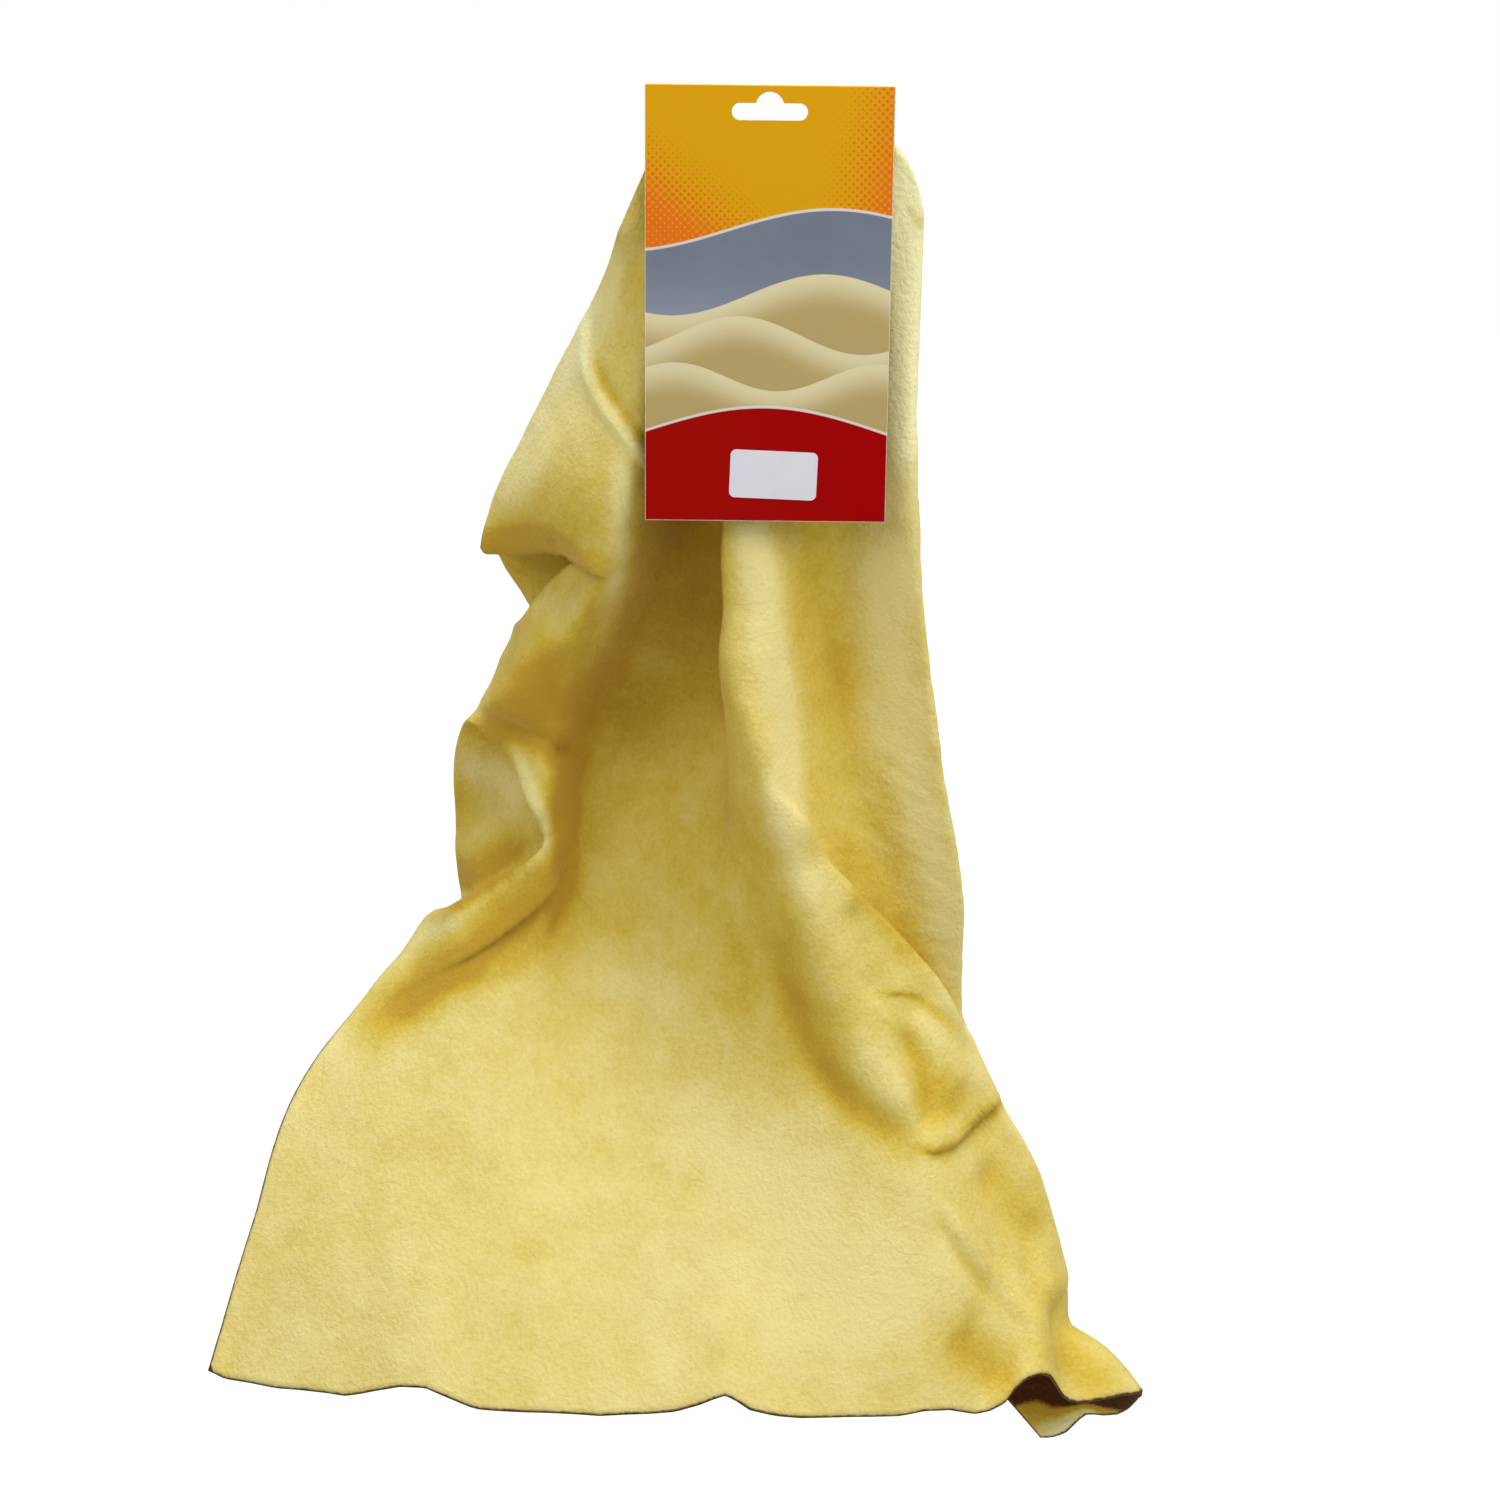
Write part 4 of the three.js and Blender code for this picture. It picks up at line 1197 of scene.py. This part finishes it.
# Hem of the front of the hide: millimetres right and up, from the left corner to the roll
HEM_LINE: tuple[Point2, ...] = (
    (-251.6, -572.7), (-243.8, -575.0), (-231.3, -574.2), (-219.0, -573.9), (-206.7, -572.2),
    (-194.7, -571.2), (-185.2, -571.0), (-178.0, -568.7), (-170.9, -566.0), (-159.1, -562.0),
    (-147.6, -560.9), (-136.2, -564.9), (-125.0, -568.9), (-113.8, -569.4), (-91.5, -570.4),
    (-69.3, -571.8), (-46.9, -569.9), (-35.7, -568.4), (-24.6, -564.5), (-18.0, -561.3),
    (-13.5, -559.6), (-9.1, -561.5), (-2.4, -566.3), (8.8, -569.2), (19.9, -570.2),
    (42.2, -569.8), (64.6, -570.1), (75.8, -568.5), (87.2, -569.6), (98.9, -573.9),
    (105.9, -574.0), (112.9, -571.8), (117.4, -566.4), (122.0, -562.6), (126.8, -561.8),
    (133.1, -564.5), (139.1, -570.0), (145.3, -577.7), (151.8, -581.4), (161.7, -582.6),
    (171.8, -583.7), (180.0, -586.8),
)

# Hem of the layer behind the roll, from its free corner out to the roll
REAR_HEM_LINE: tuple[Point2, ...] = (
    (137.8, -626.8), (143.1, -626.4), (148.2, -624.5), (151.9, -622.1), (154.6, -617.5),
    (159.5, -612.5), (163.5, -611.3), (167.9, -610.2), (172.9, -607.4), (176.9, -602.9),
    (179.8, -596.3), (181.3, -591.0),
)


# Header card


@dataclass
class HeaderCard:
    """One board folded over at its top, with a hang slot through both leaves."""

    width: float = 2.0 * CARD_HALF * MM
    foot: float = CARD_FOOT * MM
    board: float = BOARD_THICKNESS * MM
    fold_height: float = FOLD_HEIGHT * MM
    fold_radius: float = 0.65 * MM
    fold_steps: int = 12
    flap_foot: float = FLAP_FOOT * MM
    slot_bar: float = 7.0 * MM
    slot_half: float = 16.0 * MM
    slot_hump: float = 4.6 * MM
    slot_hump_half: float = 5.8 * MM
    cutter_depth: float = 60.0 * MM
    edge_round: float = 0.08 * MM
    flat_area: float = 100.0 * MM * MM

    def build(self) -> bpy.types.Object:
        """Fold the board, give it thickness, and cut the slot.

        Returns:
            The card.
        """
        deselect_all()
        middle = 0.5 * (self.fold_height + self.foot)
        bpy.ops.mesh.primitive_plane_add(size=1.0, location=(0.0, 0.5 * self.board, middle),
                                         rotation=(0.5 * math.pi, 0.0, 0.0))
        card = bpy.context.object
        card.name = card.data.name = "header_card"
        card.scale = (self.width, self.fold_height - self.foot, 1.0)
        bpy.ops.object.transform_apply(location=True, rotation=True, scale=True)
        bpy.ops.object.mode_set(mode="EDIT")
        self.select_edge(card, self.fold_height)
        axis_y = 0.5 * self.board + self.fold_radius
        bpy.ops.mesh.spin(steps=self.fold_steps, angle=math.pi, center=(0.0, axis_y, self.fold_height),
                          axis=(1.0, 0.0, 0.0))
        drop = self.flap_foot - self.fold_height
        bpy.ops.mesh.extrude_edges_move(TRANSFORM_OT_translate={
            "value": (0.0, -drop * math.tan(FLAP_SLOPE), drop)})
        bpy.ops.object.mode_set(mode="OBJECT")
        self.tidy_faces(card)
        apply_modifier(card, "SOLIDIFY", thickness=self.board, offset=0.0)
        self.tidy_faces(card)
        for cutter in (self.bar_cutter(), self.hump_cutter()):
            apply_modifier(card, "BOOLEAN", object=cutter, operation="DIFFERENCE", solver="EXACT")
            bpy.data.objects.remove(cutter)
        apply_modifier(card, "BEVEL", width=self.edge_round, segments=2, limit_method="ANGLE",
                       angle_limit=math.radians(50.0))
        make_active(card)
        bpy.ops.object.shade_smooth_by_angle(angle=math.radians(40.0))
        for face in card.data.polygons:
            face.use_smooth = face.area < self.flat_area
        return card

    @staticmethod
    def tidy_faces(card: bpy.types.Object) -> None:
        """Merge doubled points and turn every face outwards."""
        make_active(card)
        bpy.ops.object.mode_set(mode="EDIT")
        bpy.ops.mesh.select_all(action="SELECT")
        bpy.ops.mesh.remove_doubles(threshold=0.01 * MM)
        bpy.ops.mesh.normals_make_consistent(inside=False)
        bpy.ops.object.mode_set(mode="OBJECT")

    @staticmethod
    def select_edge(card: bpy.types.Object, height: float) -> None:
        """Select the edge of the board at a height, in edit mode."""
        bpy.ops.mesh.select_all(action="DESELECT")
        bpy.ops.object.mode_set(mode="OBJECT")
        for edge in card.data.edges:
            ends = [card.data.vertices[i].co.z for i in edge.vertices]
            edge.select = all(abs(z - height) < 0.01 * MM for z in ends)
        bpy.ops.object.mode_set(mode="EDIT")
        bpy.ops.mesh.select_mode(type="EDGE")

    def bar_cutter(self) -> bpy.types.Object:
        """Bar of the slot with its round ends."""
        deselect_all()
        radius = 0.5 * self.slot_bar
        steps = 40
        bpy.ops.mesh.primitive_cylinder_add(vertices=steps, radius=radius, depth=self.cutter_depth,
                                            rotation=(0.5 * math.pi, math.pi / steps, 0.0))
        cutter = bpy.context.object
        bpy.ops.object.transform_apply(location=True, rotation=True, scale=True)
        for vertex in cutter.data.vertices:
            vertex.co.x += math.copysign(self.slot_half - radius, vertex.co.x)
            vertex.co.z -= self.slot_hump + radius
        return cutter

    def hump_cutter(self) -> bpy.types.Object:
        """Hump over the slot's middle, cut off inside the bar."""
        deselect_all()
        radius = (self.slot_hump_half ** 2 + self.slot_hump ** 2) / (2.0 * self.slot_hump)
        bpy.ops.mesh.primitive_cylinder_add(vertices=64, radius=radius, depth=self.cutter_depth,
                                            location=(0.0, 0.0, -radius),
                                            rotation=(0.5 * math.pi, 0.0, 0.0))
        cutter = bpy.context.object
        bpy.ops.object.transform_apply(location=True, rotation=True, scale=True)
        bpy.ops.object.mode_set(mode="EDIT")
        bpy.ops.mesh.select_all(action="SELECT")
        bpy.ops.mesh.bisect(plane_co=(0.0, 0.0, -self.slot_hump - 0.4 * self.slot_bar),
                            plane_no=(0.0, 0.0, 1.0), use_fill=True, clear_inner=True)
        bpy.ops.object.mode_set(mode="OBJECT")
        return cutter

    def dress(self, card: bpy.types.Object) -> None:
        """Print the card's face and leave its back plain."""
        card.data.materials.append(PRINT.material())
        card.data.materials.append(BOARD.material())
        axis_y = 0.5 * self.board + self.fold_radius
        for face in card.data.polygons:
            over_fold = face.center.z > self.fold_height and face.normal.z > 0.3
            face_side = face.normal.y < -0.5 and face.center.y < 0.3 * self.board
            outside = over_fold and math.hypot(face.center.y - axis_y,
                                               face.center.z - self.fold_height) > self.fold_radius
            face.material_index = 0 if face_side or outside else 1
        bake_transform(card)
        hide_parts("card_front_panel", "card_back_flap")


@dataclass
class SizeLabel:
    """Blank paper sticker near the card's foot, a little askew."""

    width: float = 38.0 * MM
    height: float = 21.0 * MM
    corner: float = 2.5 * MM
    thickness: float = 0.13 * MM
    turn: float = math.radians(2.0)
    centre: Point3 = (3.4 * MM, -0.085 * MM, -161.6 * MM)

    def build(self) -> bpy.types.Object:
        """Round a plane's corners and give it the paper's thickness.

        Returns:
            The label.
        """
        deselect_all()
        bpy.ops.mesh.primitive_plane_add(size=1.0, location=self.centre,
                                         rotation=(0.5 * math.pi, self.turn, 0.0))
        label = bpy.context.object
        label.name = label.data.name = "blank_label"
        label.scale = (self.width, self.height, 1.0)
        bpy.ops.object.transform_apply(location=True, rotation=True, scale=True)
        bpy.ops.object.mode_set(mode="EDIT")
        bpy.ops.mesh.select_all(action="SELECT")
        bpy.ops.mesh.bevel(offset=self.corner, segments=8, affect="VERTICES")
        bpy.ops.object.mode_set(mode="OBJECT")
        apply_modifier(label, "SOLIDIFY", thickness=self.thickness, offset=0.0)
        apply_modifier(label, "BEVEL", width=0.03 * MM, segments=1, limit_method="ANGLE")
        return label

    def dress(self, label: bpy.types.Object) -> None:
        """Finish the label and stick it to the lifting panel."""
        label.data.materials.append(PAPER.material())
        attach(label, Body.PANEL.value)
        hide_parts("size_label")


@dataclass
class Staples:
    """Wire staples that hold the hide to the back flap."""

    nodes: tuple[str, ...] = ("staple_left", "staple_right")

    def dress(self) -> None:
        """Give the wires their steel."""
        steel = STEEL.material()
        for name in self.nodes:
            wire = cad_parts[name]
            wire.data.materials.clear()
            wire.data.materials.append(steel)


# Studio


@dataclass(frozen=True)
class Lamp:
    """A soft box: a square lamp at a place, turned to a target."""

    name: str
    place: Point3
    target: Point3
    size: float
    watts: float

    def build(self) -> None:
        """Hang the lamp."""
        data = bpy.data.lights.new(self.name, "AREA")
        data.size, data.energy = self.size, self.watts
        lamp = bpy.data.objects.new(self.name, data)
        bpy.context.scene.collection.objects.link(lamp)
        lamp.location = self.place
        aim = Vector(self.target) - Vector(self.place)
        lamp.rotation_euler = aim.to_track_quat("-Z", "Y").to_euler()


@dataclass
class Studio:
    """White room: a floor, soft lamps, and the camera at the photograph's place."""

    floor_height: float = -0.95
    floor_size: float = 16.0
    floor_glow: float = 1.15
    glow_share: float = 0.85
    ambient: float = 0.3
    lamps: tuple[Lamp, ...] = (
        Lamp("back_box", (0.0, 0.35, 1.2), (0.0, 0.0, -0.3), 1.0, 13.0),
        Lamp("top_box", (0.0, -0.35, 1.2), (0.0, 0.0, -0.3), 1.0, 6.4),
        Lamp("right_box", (0.7, -0.35, 1.0), (0.0, 0.0, -0.3), 1.0, 6.9),
        Lamp("front_left_box", (-0.9, -0.7, 0.6), (0.0, 0.0, -0.3), 1.0, 5.2),
        Lamp("front_right_box", (0.9, -0.7, 0.6), (0.0, 0.0, -0.3), 1.0, 5.7),
    )
    eye: Point3 = (-0.0055, -1.1111, 0.0214)
    pitch: float = math.radians(15.46)
    roll: float = math.radians(0.613)
    focal_pixels: float = 2572.0
    photo_pixels: float = 1500.0
    sensor: float = 36.0

    def build(self) -> None:
        """Set up the room."""
        self.build_floor()
        self.build_world()
        for lamp in self.lamps:
            lamp.build()
        self.build_camera()
        bpy.context.scene.view_settings.view_transform = "Standard"

    @staticmethod
    def seen(sheet: NodeSheet) -> Signal:
        """1 for rays from the camera and for those mirrored or passed on by a piece."""
        camera, mirrored, passed = (sheet.join("ShaderNodeLightPath", f"Is {ray} Ray")
                                    for ray in ("Camera", "Glossy", "Transmission"))
        return camera.reckon("MAXIMUM", mirrored).reckon("MAXIMUM", passed)

    def build_floor(self) -> None:
        """White floor that keeps a faint shadow."""
        deselect_all()
        bpy.ops.mesh.primitive_plane_add(size=self.floor_size, location=(0.0, 0.0, self.floor_height))
        floor = bpy.context.object
        floor.name = "floor"
        material = bpy.data.materials.new("floor_white")
        material.use_nodes = True
        sheet = NodeSheet(material.node_tree)
        shader = material.node_tree.nodes["Principled BSDF"]
        shader.inputs["Base Color"].default_value = (0.85, 0.85, 0.85, 1.0)
        shader.inputs["Roughness"].default_value = 0.9
        glow = sheet.join("ShaderNodeEmission", 0, {"Strength": self.floor_glow})
        blend = sheet.join("ShaderNodeMixShader", 0, {
            0: self.seen(sheet) * self.glow_share, 1: Signal(sheet, shader.outputs[0]), 2: glow})
        sheet.feed(material.node_tree.nodes["Material Output"].inputs["Surface"], blend)
        floor.data.materials.append(material)

    def build_world(self) -> None:
        """White to look at, and an even fill on the pieces."""
        world = bpy.data.worlds.new("white_room")
        bpy.context.scene.world = world
        world.use_nodes = True
        sheet = NodeSheet(world.node_tree)
        background = world.node_tree.nodes["Background"]
        background.inputs["Color"].default_value = (1.0, 1.0, 1.0, 1.0)
        strength = self.seen(sheet) * (1.0 - self.ambient) + self.ambient
        sheet.feed(background.inputs["Strength"], strength)

    def build_camera(self) -> None:
        """Camera with the photograph's view."""
        data = bpy.data.cameras.new("photo_view")
        data.sensor_width = self.sensor
        data.lens = self.sensor * self.focal_pixels / self.photo_pixels
        data.clip_start = 0.01
        camera = bpy.data.objects.new("photo_view", data)
        bpy.context.scene.collection.objects.link(camera)
        forward = Vector((0.0, math.cos(self.pitch), -math.sin(self.pitch)))
        level_up = Vector((0.0, math.sin(self.pitch), math.cos(self.pitch)))
        right = Vector((1.0, 0.0, 0.0))
        tilted_right = math.cos(self.roll) * right + math.sin(self.roll) * level_up
        tilted_up = math.cos(self.roll) * level_up - math.sin(self.roll) * right
        turn = Matrix((tilted_right, tilted_up, -forward)).transposed()
        camera.matrix_world = Matrix.Translation(self.eye) @ turn.to_4x4()
        bpy.context.scene.camera = camera


def main() -> None:
    """Build the studio, then each piece in turn."""
    logging.basicConfig(level=logging.INFO, format="%(name)s: %(message)s")
    Studio().build()
    for maker in (Hide(), HeaderCard(), SizeLabel()):
        piece = maker.build()
        maker.dress(piece)
        LOG.info("%s: %d faces", piece.name, len(piece.data.polygons))
    staples = Staples()
    staples.dress()
    LOG.info("staples: %d wires", len(staples.nodes))


if __name__ == "__main__":
    main()
